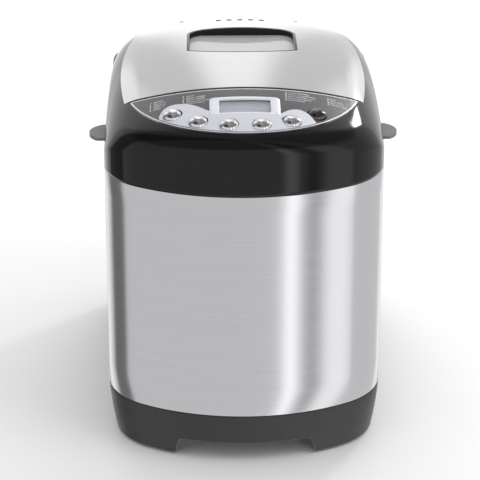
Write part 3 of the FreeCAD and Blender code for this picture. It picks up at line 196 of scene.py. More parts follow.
def body_loop(inset):
    """The body seen from above, drawn in by inset: bowed front, round corners, straight sides
    and flat back, as one closed loop that runs from the left of the front arc to the right."""
    low = 1.5 * math.pi
    lean = front_half_angle
    front, corner, rear = front_r - inset, corner_r - inset, rear_r - inset
    side, back = half_w - inset, rear_hub[1] + rear
    return np.vstack([
        arc((0, front_hub), front, low - lean, low + lean, bow_steps),
        arc((corner_hub_x, corner_hub_y), corner, low + lean, 2 * math.pi, corner_steps),
        straight((side, corner_hub_y), (side, rear_hub[1]), side_steps),
        arc(rear_hub, rear, 0, math.pi / 2, rear_steps),
        straight((rear_hub[0], back), (port_half, back), edge_steps),
        straight((port_half, back), (-port_half, back), port_steps),
        straight((-port_half, back), (-rear_hub[0], back), edge_steps),
        arc((-rear_hub[0], rear_hub[1]), rear, math.pi / 2, math.pi, rear_steps),
        straight((-side, rear_hub[1]), (-side, corner_hub_y), side_steps),
        arc((-corner_hub_x, corner_hub_y), corner, math.pi, low - lean, corner_steps)])


def ring_faces(rows, columns):
    """Quads between rows of a grid whose columns close on themselves. Rows run downwards and
    columns anticlockwise seen from above, so the faces point outwards."""
    here = np.arange(rows * columns).reshape(rows, columns)
    after = np.roll(here, -1, 1)
    return np.stack([here[:-1], here[1:], after[1:], after[:-1]], -1).reshape(-1, 4)


def ring_piece(name, rings):
    """A skin through a list of loops of (x, y, z) in millimetres, from the top one down."""
    points = np.stack(rings)
    return put_mesh(name, points * mm, ring_faces(len(rings), points.shape[1]))


def level(loop, height):
    """A loop seen from above, set at one height or at a height for each point."""
    return np.c_[loop, np.broadcast_to(height, len(loop))]


base_top, base_low, base_draw, base_round = 44, 2, 5.5, 1.4
scoop_half, scoop_lean, scoop_rise, scoop_rear = 68, 19, 15.5, -136
wedge_half, wedge_flare, flare_soft, rear_soft = 37.4, 0.887, 7, 9


def scoop_floor(x, y):
    """Height of the tub's underside: level, but lifted in the finger scoop. The lift grows with
    the distance inside the leaning ends, the flared sides and the back, and is rounded off."""
    ends = (scoop_half - np.abs(x)) / scoop_lean
    flare = (wedge_half + wedge_flare * (scoop_rear - y) - np.abs(x)) / flare_soft
    rear = (scoop_rear - y) / rear_soft
    inside = np.clip(np.minimum(np.minimum(ends, flare), rear), 0, 1)
    return base_low + scoop_rise * (1 - (1 - inside) ** 2)


under = body_loop(base_draw + base_round)
lip = scoop_floor(under[:, 0], under[:, 1])
wall_rings, round_rings, scoop_rings, floor_rings, scoop_share = 18, 7, 30, 24, 0.2
trial_inset = 10
edge_line, inset_line = body_loop(0), body_loop(trial_inset)


def drawn_in(inset, height):
    """The body's outline drawn in by an inset that may differ from point to point."""
    return level(edge_line + (inset_line - edge_line) * (inset / trial_inset)[:, None], height)


rings = [level(body_loop(2.6), base_top - 2), level(body_loop(2.6), base_top - 0.5),
         level(body_loop(2.2), base_top - 0.1), level(body_loop(0.7), base_top - 0.1),
         level(body_loop(0.25), base_top - 0.5)]
for share in np.linspace(0.03, 1, wall_rings):
    height = base_top - (base_top - lip - base_round) * share
    drawn = base_draw * ((base_top - height) / (base_top - base_low)) ** 1.5
    rings.append(drawn_in(drawn, height))
for angle in np.linspace(0, math.pi / 2, round_rings)[1:]:
    rings.append(drawn_in(drawn + base_round * (1 - math.cos(angle)),
                          lip + base_round * (1 - math.sin(angle))))
grille_mid, grille_half = (2, 90), (43, 27)
outer = rings[-1][:, :2]
away = outer - grille_mid
reach = np.min(np.array(grille_half) / np.maximum(np.abs(away), 0.001), axis=1)
hole = grille_mid + away * reach[:, None]
for share in np.r_[np.linspace(0, scoop_share, scoop_rings)[1:], np.linspace(scoop_share, 1, floor_rings)[1:]]:
    spot = outer + (hole - outer) * share
    rings.append(level(spot, scoop_floor(spot[:, 0], spot[:, 1])))
rings.append(level(hole, base_low + 2.5))
base_shell = ring_piece("base_shell", rings)


def grain_group():
    """Moulded or cast grain: fine noise raised as bump, with roughness that drifts slowly."""
    group = bpy.data.node_groups.new("moulded_grain", "ShaderNodeTree")
    for label, start in (("Scale", 900.0), ("Depth", 0.00001), ("Smooth", 0.3), ("Rough", 0.45)):
        socket = group.interface.new_socket(label, in_out="INPUT", socket_type="NodeSocketFloat")
        socket.default_value = start
    group.interface.new_socket("Roughness", in_out="OUTPUT", socket_type="NodeSocketFloat")
    group.interface.new_socket("Normal", in_out="OUTPUT", socket_type="NodeSocketVector")
    inside, outside = group.nodes.new("NodeGroupInput"), group.nodes.new("NodeGroupOutput")
    where = node(group, "TexCoord")
    fine = node(group, "TexNoise", {"Detail": 3.0, "Roughness": 0.6})
    drift = node(group, "TexNoise", {"Scale": 22.0, "Detail": 4.0})
    spread = node(group, "MapRange", {"From Min": 0.3, "From Max": 0.7})
    bump = node(group, "Bump", {"Strength": 1.0})
    for source, target in ((where.outputs["Object"], fine.inputs["Vector"]),
                           (where.outputs["Object"], drift.inputs["Vector"]),
                           (inside.outputs["Scale"], fine.inputs["Scale"]),
                           (drift.outputs["Fac"], spread.inputs["Value"]),
                           (inside.outputs["Smooth"], spread.inputs["To Min"]),
                           (inside.outputs["Rough"], spread.inputs["To Max"]),
                           (fine.outputs["Fac"], bump.inputs["Height"]),
                           (inside.outputs["Depth"], bump.inputs["Distance"]),
                           (spread.outputs["Result"], outside.inputs["Roughness"]),
                           (bump.outputs["Normal"], outside.inputs["Normal"])):
        group.links.new(source, target)
    return group


grain = grain_group()


def tinted(tree, shader, first, second, scale):
    """Lets a surface's colour drift between two close tones."""
    where = node(tree, "TexCoord")
    noise = node(tree, "TexNoise", {"Scale": scale, "Detail": 5.0})
    tones = node(tree, "ValToRGB")
    tones.color_ramp.elements[0].position, tones.color_ramp.elements[1].position = 0.35, 0.65
    tones.color_ramp.elements[0].color, tones.color_ramp.elements[1].color = (*first, 1), (*second, 1)
    tree.links.new(where.outputs["Object"], noise.inputs["Vector"])
    tree.links.new(noise.outputs["Fac"], tones.inputs["Fac"])
    tree.links.new(tones.outputs["Color"], shader.inputs["Base Color"])
    return tones


def moulded(name, first, second, smooth, rough, depth=0.00001, scale=900.0, drift=14.0, **fixed):
    """Moulded plastic, rubber, ceramic or cast metal: two tones, grain and varied gloss."""
    material, tree, shader = new_material(name)
    texture = tree.nodes.new("ShaderNodeGroup")
    texture.node_tree = grain
    for label, value in (("Scale", scale), ("Depth", depth), ("Smooth", smooth), ("Rough", rough)):
        texture.inputs[label].default_value = value
    tinted(tree, shader, first, second, drift)
    tree.links.new(texture.outputs["Roughness"], shader.inputs["Roughness"])
    tree.links.new(texture.outputs["Normal"], shader.inputs["Normal"])
    for socket, value in fixed.items():
        shader.inputs[socket.replace("_", " ")].default_value = value
    return material


def dress(material, *names):
    """Gives CAD nodes a material in place of their plain one."""
    for name in names:
        slots = nodes[name].data.materials
        for index in range(len(slots)):
            slots[index] = material


satin_black = moulded("satin_black", (0.022, 0.022, 0.022), (0.028, 0.027, 0.027), 0.40, 0.50,
                      0.00002, 1400.0)
base_shell.data.materials.append(satin_black)
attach(base_shell, "housing")
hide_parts("base_tub")

plate_half, slot_ends, slot_edges, slot_pitch = (47, 31), (70, 110), (-36, 41), 4
bars_x = np.r_[grille_mid[0] - plate_half[0], np.arange(*slot_edges, slot_pitch), grille_mid[0] + plate_half[0]]
bars_y = np.array([grille_mid[1] - plate_half[1], *slot_ends, grille_mid[1] + plate_half[1]])
cross_x, cross_y = np.meshgrid(bars_x, bars_y)
points = np.stack([cross_x, cross_y, np.full_like(cross_x, base_low + 0.9)], -1)
index = np.arange(points.shape[0] * points.shape[1]).reshape(points.shape[:2])
quads = np.stack([index[:-1, :-1], index[1:, :-1], index[1:, 1:], index[:-1, 1:]], -1)
open_slot = np.zeros(quads.shape[:2], bool)
open_slot[1, 1::2] = True
open_slot[1, -1] = False
base_grille = put_mesh("base_grille", points * mm, quads[~open_slot], smooth=False)
thick = base_grille.modifiers.new("thickness", "SOLIDIFY")
thick.thickness, thick.offset = 2 * mm, -1
base_grille.data.materials.append(satin_black)
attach(base_grille, "housing")

foot_rubber = moulded("foot_rubber", (0.035, 0.034, 0.033), (0.05, 0.048, 0.046), 0.7, 0.9, 0.00003, 700.0)
dress(foot_rubber, "rubber_feet")

# ---------------------------------------------------------------- chassis, screws and bushes
# A zinc-plated steel plate on the tub's four posts carries the motor and the chamber. Screws
# are plated steel, the bushes sintered bronze, and the pan's seat a small aluminium casting.


def metal(name, first, second, smooth, rough, depth=0.000004, scale=600.0, drift=30.0, **fixed):
    """Metal with a grain of its own: a moulded finish with full Metallic."""
    return moulded(name, first, second, smooth, rough, depth, scale, drift, Metallic=1.0, **fixed)


zinc = metal("zinc", (0.52, 0.54, 0.55), (0.66, 0.66, 0.63), 0.28, 0.42)
bronze = metal("bearing_bronze", (0.42, 0.26, 0.11), (0.52, 0.34, 0.16), 0.35, 0.5)
cast_alloy = metal("cast_alloy", (0.50, 0.51, 0.53), (0.60, 0.60, 0.61), 0.42, 0.6, 0.00004, 420.0)
dress(zinc, "chassis_plate", "frame_screws", "chamber_spacers", "hinge_pins", "lid_screws",
      "temperature_probe", "drive_shaft", "pan_shaft", "motor_screws")
dress(bronze, "shaft_bushes", "pan_bearing")
dress(cast_alloy, "pan_seat", "pan_foot", "motor_frame", "lower_coupling", "upper_coupling",
      "small_pulley")

# ---------------------------------------------------------------- motor and belt drive
# A shaded-pole motor stands through the chassis: stacked steel laminations, copper windings
# with an alloy frame at each end. A toothless rubber belt turns the big nylon pulley.
lamination = metal("lamination", (0.25, 0.25, 0.26), (0.36, 0.35, 0.34), 0.4, 0.6)
copper = metal("copper_winding", (0.55, 0.20, 0.07), (0.68, 0.29, 0.11), 0.25, 0.45, 0.00012, 260.0)
nylon = moulded("pulley_nylon", (0.60, 0.58, 0.52), (0.66, 0.64, 0.58), 0.35, 0.5)
belt_rubber = moulded("belt_rubber", (0.02, 0.02, 0.02), (0.03, 0.03, 0.03), 0.6, 0.8, 0.00004)
component_black = moulded("component_black", (0.02, 0.02, 0.022), (0.03, 0.03, 0.03), 0.35, 0.5)
dress(lamination, "motor_stator", "motor_rotor")
dress(copper, "motor_coils")
dress(nylon, "large_pulley")
dress(belt_rubber, "drive_belt")
dress(component_black, "motor_fan", "switch_set")

# ---------------------------------------------------------------- chamber and heating element
# The oven liner is a drawn box of aluminised steel, with a sheathed element looped round its
# floor on ceramic bushes.
chamber_steel = metal("chamber_steel", (0.58, 0.58, 0.57), (0.70, 0.70, 0.69), 0.3, 0.45, 0.000006, 300.0)
element_sheath = metal("element_sheath", (0.16, 0.15, 0.14), (0.26, 0.24, 0.22), 0.45, 0.65)
ceramic = moulded("ceramic", (0.72, 0.69, 0.62), (0.78, 0.75, 0.69), 0.5, 0.7)
dress(chamber_steel, "chamber_liner", "lid_liner")
dress(element_sheath, "heating_element")
dress(ceramic, "element_bushes")

# ---------------------------------------------------------------- power electronics
# A printed board behind the front wall holds the transformer and relay drive, with the motor's
# run capacitor clipped beside it.
board_green = moulded("circuit_board", (0.02, 0.11, 0.05), (0.03, 0.15, 0.07), 0.3, 0.45)
film_capacitor = moulded("film_capacitor", (0.62, 0.60, 0.56), (0.70, 0.68, 0.64), 0.3, 0.45)
coil_tape = moulded("coil_tape", (0.50, 0.38, 0.08), (0.58, 0.45, 0.12), 0.35, 0.5)
dress(board_green, "power_board", "display_board")
dress(film_capacitor, "run_capacitor")
dress(coil_tape, "transformer")

# ---------------------------------------------------------------- steel wrap
# One sheet of stainless steel, brushed along its length and wrapped round the body, with both
# edges rolled in and a square port cut in its back for the service panel.


def brush_group():
    """Brushed grain: noise drawn out along the strokes, as tone, roughness and bump. Stretch
    is the count of strokes per metre along each axis."""
    group = bpy.data.node_groups.new("brushed_grain", "ShaderNodeTree")
    group.interface.new_socket("Stretch", in_out="INPUT", socket_type="NodeSocketVector")
    for label, start in (("Depth", 0.000004), ("Smooth", 0.2), ("Rough", 0.34)):
        socket = group.interface.new_socket(label, in_out="INPUT", socket_type="NodeSocketFloat")
        socket.default_value = start
    for label in ("Dark", "Light"):
        group.interface.new_socket(label, in_out="INPUT", socket_type="NodeSocketColor")
    group.interface.new_socket("Color", in_out="OUTPUT", socket_type="NodeSocketColor")
    group.interface.new_socket("Roughness", in_out="OUTPUT", socket_type="NodeSocketFloat")
    group.interface.new_socket("Normal", in_out="OUTPUT", socket_type="NodeSocketVector")
    inside, outside = group.nodes.new("NodeGroupInput"), group.nodes.new("NodeGroupOutput")
    where = node(group, "TexCoord")
    drawn = node(group, "VectorMath", operation="MULTIPLY")
    strokes = node(group, "TexNoise", {"Scale": 1.0, "Detail": 6.0, "Roughness": 0.7})
    tone = node(group, "MapRange", {"From Min": 0.25, "From Max": 0.75})
    shade = node(group, "Mix", data_type="RGBA")
    gloss = node(group, "MapRange", {"From Min": 0.25, "From Max": 0.75})
    bump = node(group, "Bump", {"Strength": 1.0})
    for source, target in ((where.outputs["Object"], drawn.inputs[0]),
                           (inside.outputs["Stretch"], drawn.inputs[1]),
                           (drawn.outputs[0], strokes.inputs["Vector"]),
                           (strokes.outputs["Fac"], tone.inputs["Value"]),
                           (tone.outputs["Result"], shade.inputs[0]),
                           (inside.outputs["Dark"], shade.inputs[6]),
                           (inside.outputs["Light"], shade.inputs[7]),
                           (strokes.outputs["Fac"], gloss.inputs["Value"]),
                           (inside.outputs["Smooth"], gloss.inputs["To Min"]),
                           (inside.outputs["Rough"], gloss.inputs["To Max"]),
                           (strokes.outputs["Fac"], bump.inputs["Height"]),
                           (inside.outputs["Depth"], bump.inputs["Distance"]),
                           (shade.outputs[2], outside.inputs["Color"]),
                           (gloss.outputs["Result"], outside.inputs["Roughness"]),
                           (bump.outputs["Normal"], outside.inputs["Normal"])):
        group.links.new(source, target)
    return group


brushing = brush_group()


def brushed(name, stretch, dark, light, smooth, rough, depth=0.000004, anisotropy=0.6, turn=0.0):
    """Stainless steel with brush strokes along one direction."""
    material, tree, shader = new_material(name)
    strokes = tree.nodes.new("ShaderNodeGroup")
    strokes.node_tree = brushing
    strokes.inputs["Stretch"].default_value = stretch
    strokes.inputs["Depth"].default_value = depth
    strokes.inputs["Smooth"].default_value = smooth
    strokes.inputs["Rough"].default_value = rough
    strokes.inputs["Dark"].default_value = (*dark, 1)
    strokes.inputs["Light"].default_value = (*light, 1)
    tree.links.new(strokes.outputs["Color"], shader.inputs["Base Color"])
    tree.links.new(strokes.outputs["Roughness"], shader.inputs["Roughness"])
    tree.links.new(strokes.outputs["Normal"], shader.inputs["Normal"])
    shader.inputs["Metallic"].default_value = 1.0
    shader.inputs["Anisotropic"].default_value = anisotropy
    shader.inputs["Anisotropic Rotation"].default_value = turn
    return material


wrap_low, wrap_high, edge_roll = 44.1, 239.9, 0.8
rolled = np.linspace(0, math.pi, 8)
profile = [(edge_roll - edge_roll * math.sin(a), wrap_high - edge_roll + edge_roll * math.cos(a))
           for a in rolled if a <= math.pi / 2 + 0.01]
inner_top = [(edge_roll + edge_roll * math.sin(a), wrap_high - edge_roll + edge_roll * math.cos(a))
             for a in rolled[1:5]]
outer_low = [(edge_roll - edge_roll * math.sin(a), wrap_low + edge_roll + edge_roll * math.cos(a))
             for a in rolled if a >= math.pi / 2 - 0.01]
inner_low = [(edge_roll + edge_roll * math.sin(a), wrap_low + edge_roll + edge_roll * math.cos(a))
             for a in rolled[4:8]]
port_top, port_low = 222, 68
middle = [(0, z) for z in (port_top, 200, 170, 140, 110, 80, port_low)]
rows = inner_top[::-1] + profile + middle + outer_low + inner_low[::-1]
rings = [level(body_loop(inset), height) for inset, height in rows]
points = np.stack(rings)
faces = ring_faces(len(rings), points.shape[1]).reshape(len(rings) - 1, -1, 4)
first_port = bow_steps + corner_steps + side_steps + rear_steps + edge_steps
keep = np.ones(faces.shape[:2], bool)
keep[rows.index((0, port_top)):rows.index((0, port_low)), first_port:first_port + port_steps] = False
steel_sleeve = put_mesh("steel_sleeve", points * mm, faces[keep])
wrap_steel = brushed("wrap_steel", (9, 9, 3400), (0.575, 0.573, 0.595), (0.645, 0.643, 0.665), 0.11, 0.19,
                     0.0000008, 0.8)
steel_sleeve.data.materials.append(wrap_steel)
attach(steel_sleeve, "housing")
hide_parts("steel_wrap")
dress(satin_black, "rear_panel", "cable_gland", "vent_insert")

# ---------------------------------------------------------------- upper housing
# Gloss black moulding that closes the body: a rolled brow and control deck in front, a flange
# round the oven's mouth and the hinge's nose behind. The deck has a sunk bed for the panel.
crown_r, shoulder_r, shoulder_x, shoulder_z = 300, 40, 75, 259.95
crown_hub, spine_low, crown_edge = 11, -209, 86.5
seam_y, seam_fall, seam_passes, split_z, band_z = -71.4, 0.47, 30, 248, 240


def crown_z(x, y):
    """The crown: a section across of one large arc with two shoulder arcs, swung front to back
    about a low axis, so each point of the section runs on its own circle."""
    wide = np.minimum(np.abs(x), half_w)
    top = crown_hub + np.sqrt(crown_r ** 2 - np.minimum(wide, crown_edge) ** 2)
    side = shoulder_z + np.sqrt(shoulder_r ** 2 - np.clip(wide - shoulder_x, 0, shoulder_r) ** 2)
    section = np.where(wide <= crown_edge, top, side)
    return spine_low + np.sqrt((section - spine_low) ** 2 - (y - front_hub) ** 2)


brow_reach, brow_drop = 15, 10.5


def brow_z(x, y):
    """The crown with its front edge rolled over: a quarter ellipse of drop within brow_reach of
    the outline, full along the front arc and fading round the corners to none at the sides."""
    in_front = np.abs(x) * (front_hub - corner_hub_y) < corner_hub_x * (front_hub - y)
    to_front = front_r - np.hypot(x, y - front_hub)
    to_corner = corner_r - np.hypot(np.abs(x) - corner_hub_x, y - corner_hub_y)
    inside = np.where(in_front, to_front, np.where(y < corner_hub_y, to_corner, half_w - np.abs(x)))
    facing = np.arctan2(np.abs(x) - corner_hub_x, corner_hub_y - y)
    fade = np.clip((math.pi / 2 - facing) / (math.pi / 2 - front_half_angle), 0, 1)
    weight = np.where(in_front, 1, np.where(y < corner_hub_y, fade * fade * (3 - 2 * fade), 0))
    near = 1 - np.clip(inside / brow_reach, 0, 1)
    return crown_z(x, y) - weight * brow_drop * (1 - np.sqrt(np.clip(1 - near ** 2, 0, 1)))


def on_seam(x, shift=0.0):
    """Points where the crown meets the slanted seam, moved back by shift, found by repeating
    the step from a height to the seam's place at that height until it settles."""
    y = np.full_like(x, seam_y)
    for _ in range(seam_passes):
        y = seam_y + shift - seam_fall * (crown_z(x, y) - split_z)
    return np.c_[x, y]


def run_length(points):
    """Share of the way along a row of points, from 0 to 1."""
    steps = np.r_[0, np.cumsum(np.hypot(*np.diff(points, axis=0).T))]
    return steps / steps[-1]


def resample(points, shares):
    """Points at given shares of the way along a row of points."""
    along = run_length(points)
    return np.c_[np.interp(shares, along, points[:, 0]), np.interp(shares, along, points[:, 1])]


lens_radius, lens_y, lens_play = 97, -65.5, 1.6
tip = on_seam(np.array([half_w * 1.0]))[0]
left_part = edge_line[-(side_steps + corner_steps):]
left_part = left_part[left_part[:, 1] < tip[1]]
right_part = edge_line[:bow_steps + corner_steps + side_steps]
right_part = right_part[right_part[:, 1] < tip[1]]
front_edge = np.vstack([(-tip[0], tip[1]), left_part, right_part, tip])
front_share = run_length(front_edge)

lens_steps = 4001
lens_x = np.linspace(lens_radius, -lens_radius, lens_steps)
lens_back = on_seam(lens_x, -lens_play)
gap = np.hypot(lens_x, lens_back[:, 1] - lens_y)
lens_back = lens_back[gap <= lens_radius]
lens_tip = lens_back[0]
start = math.atan2(lens_tip[1] - lens_y, -lens_tip[0]) + 2 * math.pi
end = math.atan2(lens_tip[1] - lens_y, lens_tip[0]) + 2 * math.pi
angle = start + (end - start) * front_share
lens_front = np.c_[lens_radius * np.cos(angle), lens_y + lens_radius * np.sin(angle)]

seam_count = 180
seam_angle = np.linspace(math.pi / 2, -math.pi / 2, seam_count)
seam_edge = on_seam(half_w * np.sin(seam_angle))
back_share = (1 - np.sin(seam_angle)) / 2
lens_rear = resample(lens_back, back_share)
outer = np.vstack([front_edge, seam_edge])
inner = np.vstack([lens_front, lens_rear])
is_seam = np.r_[np.zeros(len(front_edge), bool), np.ones(seam_count, bool)]
bed_middle, bed_depth, deck_rings, skirt_rings = (0, -125.0), 1.35, 34, 14
toward = inner - np.array(bed_middle)
toward /= np.linalg.norm(toward, axis=1)[:, None]
rings = []
for inward, sunk in ((3.0, bed_depth), (0.1, bed_depth), (0.0, bed_depth - 0.2), (0.0, 0.15), (-0.12, 0.0)):
    spot = inner - toward * inward
    rings.append(level(spot, crown_z(spot[:, 0], spot[:, 1]) - sunk))
for share in 1 - (1 - np.linspace(0.04, 1, deck_rings)) ** 2:
    spot = inner + (outer - inner) * share
    rings.append(level(spot, brow_z(spot[:, 0], spot[:, 1])))
rim = rings[-1]
foot = np.where(is_seam, split_z, band_z + 0.05)
for share in np.linspace(0, 1, skirt_rings)[1:]:
    height = rim[:, 2] + (foot - rim[:, 2]) * share
    tip_column = np.isclose(np.abs(rim[:, 0]), half_w) & np.isclose(rim[:, 1], tip[1])
    y = np.where(is_seam | tip_column, seam_y - seam_fall * np.maximum(height - split_z, 0), rim[:, 1])
    rings.append(np.c_[rim[:, 0], y, height])
under = rings[-1].copy()
under[~is_seam, :2] *= 0.99
rings.append(under)
housing_front = ring_piece("housing_front", rings)


crease = math.radians(28)


def keep_behind(name, source, limit):
    """A copy of a CAD node's mesh, merged, with what lies in front of y at limit removed."""
    mesh = nodes[source].data.copy()
    mesh.name = name
    form = bmesh.new()
    form.from_mesh(mesh)
    bmesh.ops.remove_doubles(form, verts=form.verts, dist=0.00001)
    bmesh.ops.bisect_plane(form, geom=[*form.verts, *form.edges, *form.faces], plane_co=(0, limit, 0),
                           plane_no=(0, -1, 0), clear_outer=True)
    for edge in form.edges:
        edge.smooth = len(edge.link_faces) == 2 and edge.calc_face_angle(0) < crease
    form.to_mesh(mesh)
    form.free()
    if "custom_normal" in mesh.attributes:
        mesh.attributes.remove(mesh.attributes["custom_normal"])
    mesh.polygons.foreach_set("use_smooth", np.ones(len(mesh.polygons), bool))
    piece = bpy.data.objects.new(name, mesh)
    bpy.context.scene.collection.objects.link(piece)
    return piece


housing_rear = keep_behind("housing_rear", "upper_housing", (seam_y + 0.05) * mm)
gloss_black = moulded("gloss_black", (0.004, 0.004, 0.004), (0.005, 0.005, 0.005), 0.06, 0.10,
                      0.0000012, 260.0, Specular_IOR_Level=0.3)
for piece in (housing_front, housing_rear):
    piece.data.materials.clear()
    piece.data.materials.append(gloss_black)
    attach(piece, "housing")
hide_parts("upper_housing")

# ---------------------------------------------------------------- control panel
# A printed overlay bedded in the deck inside a thin bright rim, with a silvery moulding round
# the programme keys and the display. Numbers and bars are printed in white.
trim_silver = moulded("silver_trim", (0.66, 0.67, 0.73), (0.70, 0.71, 0.77), 0.38, 0.46, 0.000003,
                      Metallic=0.35)
panel_grey = moulded("panel_grey", (0.088, 0.088, 0.092), (0.096, 0.096, 0.10), 0.22, 0.3)
rim_plastic = moulded("display_rim", (0.70, 0.71, 0.76), (0.74, 0.75, 0.80), 0.3, 0.38, Metallic=0.2)
display_face = moulded("display_face", (0.80, 0.83, 0.89), (0.86, 0.89, 0.94), 0.4, 0.5)
display_glass, tree, shader = new_material("display_glass")
shader.inputs["Transmission Weight"].default_value = 1.0
shader.inputs["Roughness"].default_value = 0.02
shader.inputs["IOR"].default_value = 1.45
tinted(tree, shader, (0.86, 0.88, 0.93), (0.90, 0.92, 0.96), 40.0)
dress(trim_silver, "control_bezel")
dress(panel_grey, "control_fascia")

key_hole = 7.9
key_spots = np.array([(-58, -129.7), (-37.3, -144.6), (-13, -151.8), (13, -151.8), (37.3, -144.6)])
frame_half, frame_front, frame_back = 28.5, -138.2, -112.5
crest_left = np.array([(-69, -130), (-68, -124.5), (-65.5, -119), (-61, -116), (-56, -115.2), (-50, -116.4),
                       (-45, -118.4), (-40, -121.6), (-35, -126), (-31, -130), (-28, -132.2)])
crest_right = np.array([(28, -136.4), (31, -134), (34.5, -130.6), (38.5, -128.3), (43, -127.6), (47, -128.8),
                        (51, -132), (54, -136.5), (56.5, -143)])


def eased(x, through):
    """A soft curve through points: straight runs between them, averaged over 3 mm each way."""
    shifts = np.linspace(-1.5, 1.5, 9)
    return np.mean([np.interp(x + shift, through[:, 0], through[:, 1]) for shift in shifts], axis=0)


def wave_top(x):
    """Back edge of the silver moulding: a crest over the first key, level in front of the
    display's frame, and a lower crest over the fifth key."""
    sides = np.where(x < 0, eased(x, crest_left), eased(x, crest_right))
    return np.where(np.abs(x) < frame_half + 0.1, frame_front - 0.1, sides)


trim_lift, trim_deep, trim_inset, trim_ends = 0.7, 0.85, 1.35, (-69, 56.4)
trim_rows, trim_columns, hole_blend = 90, 420, 0.24
x = np.unique(np.r_[np.linspace(*trim_ends, trim_columns), -frame_half - 0.11, -frame_half - 0.09,
                    frame_half + 0.09, frame_half + 0.11])
lens_edge = lens_y - np.sqrt((lens_radius - trim_inset) ** 2 - x ** 2)
share = np.linspace(0, 1, trim_rows)
grid_x = np.broadcast_to(x, (trim_rows, len(x))).copy()
grid_y = lens_edge + (np.maximum(wave_top(x), lens_edge + 0.02) - lens_edge) * share[:, None]
keep = np.ones((trim_rows - 1, len(x) - 1), bool)
for spot_x, spot_y in key_spots:
    reach = np.hypot(grid_x - spot_x, grid_y - spot_y)
    near = (np.abs(reach - key_hole) < hole_blend) | ((reach > key_hole - 0.45) & (reach < key_hole))
    pull = np.where(near, key_hole / np.maximum(reach, 0.01), 1)
    grid_x, grid_y = spot_x + (grid_x - spot_x) * pull, spot_y + (grid_y - spot_y) * pull
    middle_x = (grid_x[:-1, :-1] + grid_x[1:, 1:]) / 2
    middle_y = (grid_y[:-1, :-1] + grid_y[1:, 1:]) / 2
    keep &= np.hypot(middle_x - spot_x, middle_y - spot_y) > key_hole - 0.05
points = np.stack([grid_x, grid_y, crown_z(grid_x, grid_y) + trim_lift], -1)
index = np.arange(grid_x.size).reshape(grid_x.shape)
quads = np.stack([index[:-1, :-1], index[:-1, 1:], index[1:, 1:], index[1:, :-1]], -1)
wave_trim = put_mesh("wave_trim", points * mm, quads[keep])
thick = wave_trim.modifiers.new("thickness", "SOLIDIFY")
thick.thickness, thick.offset = trim_deep * mm, -1
wave_trim.data.materials.append(trim_silver)
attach(wave_trim, "housing")
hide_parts("keypad_trim")


def frame_loop(half_x, front, back, front_round, back_round, count=12):
    """A rectangle seen from above with one corner radius at the front and one at the back."""
    quarter = math.pi / 2
    return np.vstack([
        arc((half_x - front_round, front + front_round), front_round, 3 * quarter, 4 * quarter, count),
        straight((half_x, front + front_round), (half_x, back - back_round), count),
        arc((half_x - back_round, back - back_round), back_round, 0, quarter, count),
        straight((half_x - back_round, back), (back_round - half_x, back), 3 * count),
        arc((back_round - half_x, back - back_round), back_round, quarter, 2 * quarter, count),
        straight((-half_x, back - back_round), (-half_x, front + front_round), count),
        arc((front_round - half_x, front + front_round), front_round, 2 * quarter, 3 * quarter, count),
        straight((front_round - half_x, front), (half_x - front_round, front), 3 * count)])


def off_deck(loop, above):
    """A loop laid on the deck's crown, lifted by above."""
    return level(loop, crown_z(loop[:, 0], loop[:, 1]) + above)


outside = frame_loop(frame_half, frame_front, frame_back, 0.8, 3.4)
brink = frame_loop(frame_half - 0.35, frame_front + 0.35, frame_back - 0.35, 0.6, 3.1)
inner_brink = frame_loop(21.1, -135.5, -116.5, 1.5, 1.5)
inside = frame_loop(20.7, -135.1, -116.9, 1.1, 1.1)
display_frame = ring_piece("display_frame", [
    off_deck(inside, -1.1), off_deck(inside, 0.25), off_deck(inner_brink, 0.5),
    off_deck(brink + 0.5 * (inner_brink - brink), 0.62), off_deck(brink, 0.6), off_deck(outside, 0.3),
    off_deck(outside, -1.1)])
display_frame.data.materials.append(rim_plastic)
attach(display_frame, "housing")
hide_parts("lcd_frame")

# Each digit is drawn as up to seven bars; each bar is a quad (start x, start y, end x, end y).
bars = {"top": (0, 2, 1, 2), "high_left": (0, 1, 0, 2), "high_right": (1, 1, 1, 2), "middle": (0, 1, 1, 1),
        "low_left": (0, 0, 0, 1), "low_right": (1, 0, 1, 1), "bottom": (0, 0, 1, 0)}
lit = {"0": "top high_left high_right low_left low_right bottom", "1": "high_right low_right",
       "2": "top high_right middle low_left bottom", "3": "top high_right middle low_right bottom",
       "4": "high_left high_right middle low_right", "5": "top high_left middle low_right bottom",
       "6": "top high_left middle low_left low_right bottom", "7": "top high_right low_right",
       "8": "top high_left high_right middle low_left low_right bottom",
       "9": "top high_left high_right middle low_right bottom"}


def number_bars(text, x, y, wide, tall, gap):
    """The bars of a number whose first digit's lower left corner is at x, y."""
    rows = [np.array(bars[word]) * (wide, tall / 2, wide, tall / 2) + (x + place * gap, y) * 2
            for place, digit in enumerate(text) for word in lit[digit].split()]
    return np.array(rows)


def print_bars(name, rows, weight, height):
    """Flat ink: each bar widened to weight across its run and laid at a height(x, y)."""
    start, end = rows[:, :2], rows[:, 2:4]
    along = (end - start) / np.linalg.norm(end - start, axis=1)[:, None]
    side = np.c_[-along[:, 1], along[:, 0]] * weight / 2
    start, end = start - along * weight / 2, end + along * weight / 2
    corners = np.stack([start - side, end - side, end + side, start + side], 1).reshape(-1, 2)
    points = np.c_[corners, height(corners[:, 0], corners[:, 1])]
    return put_mesh(name, points * mm, np.arange(len(points)).reshape(-1, 4), smooth=False)


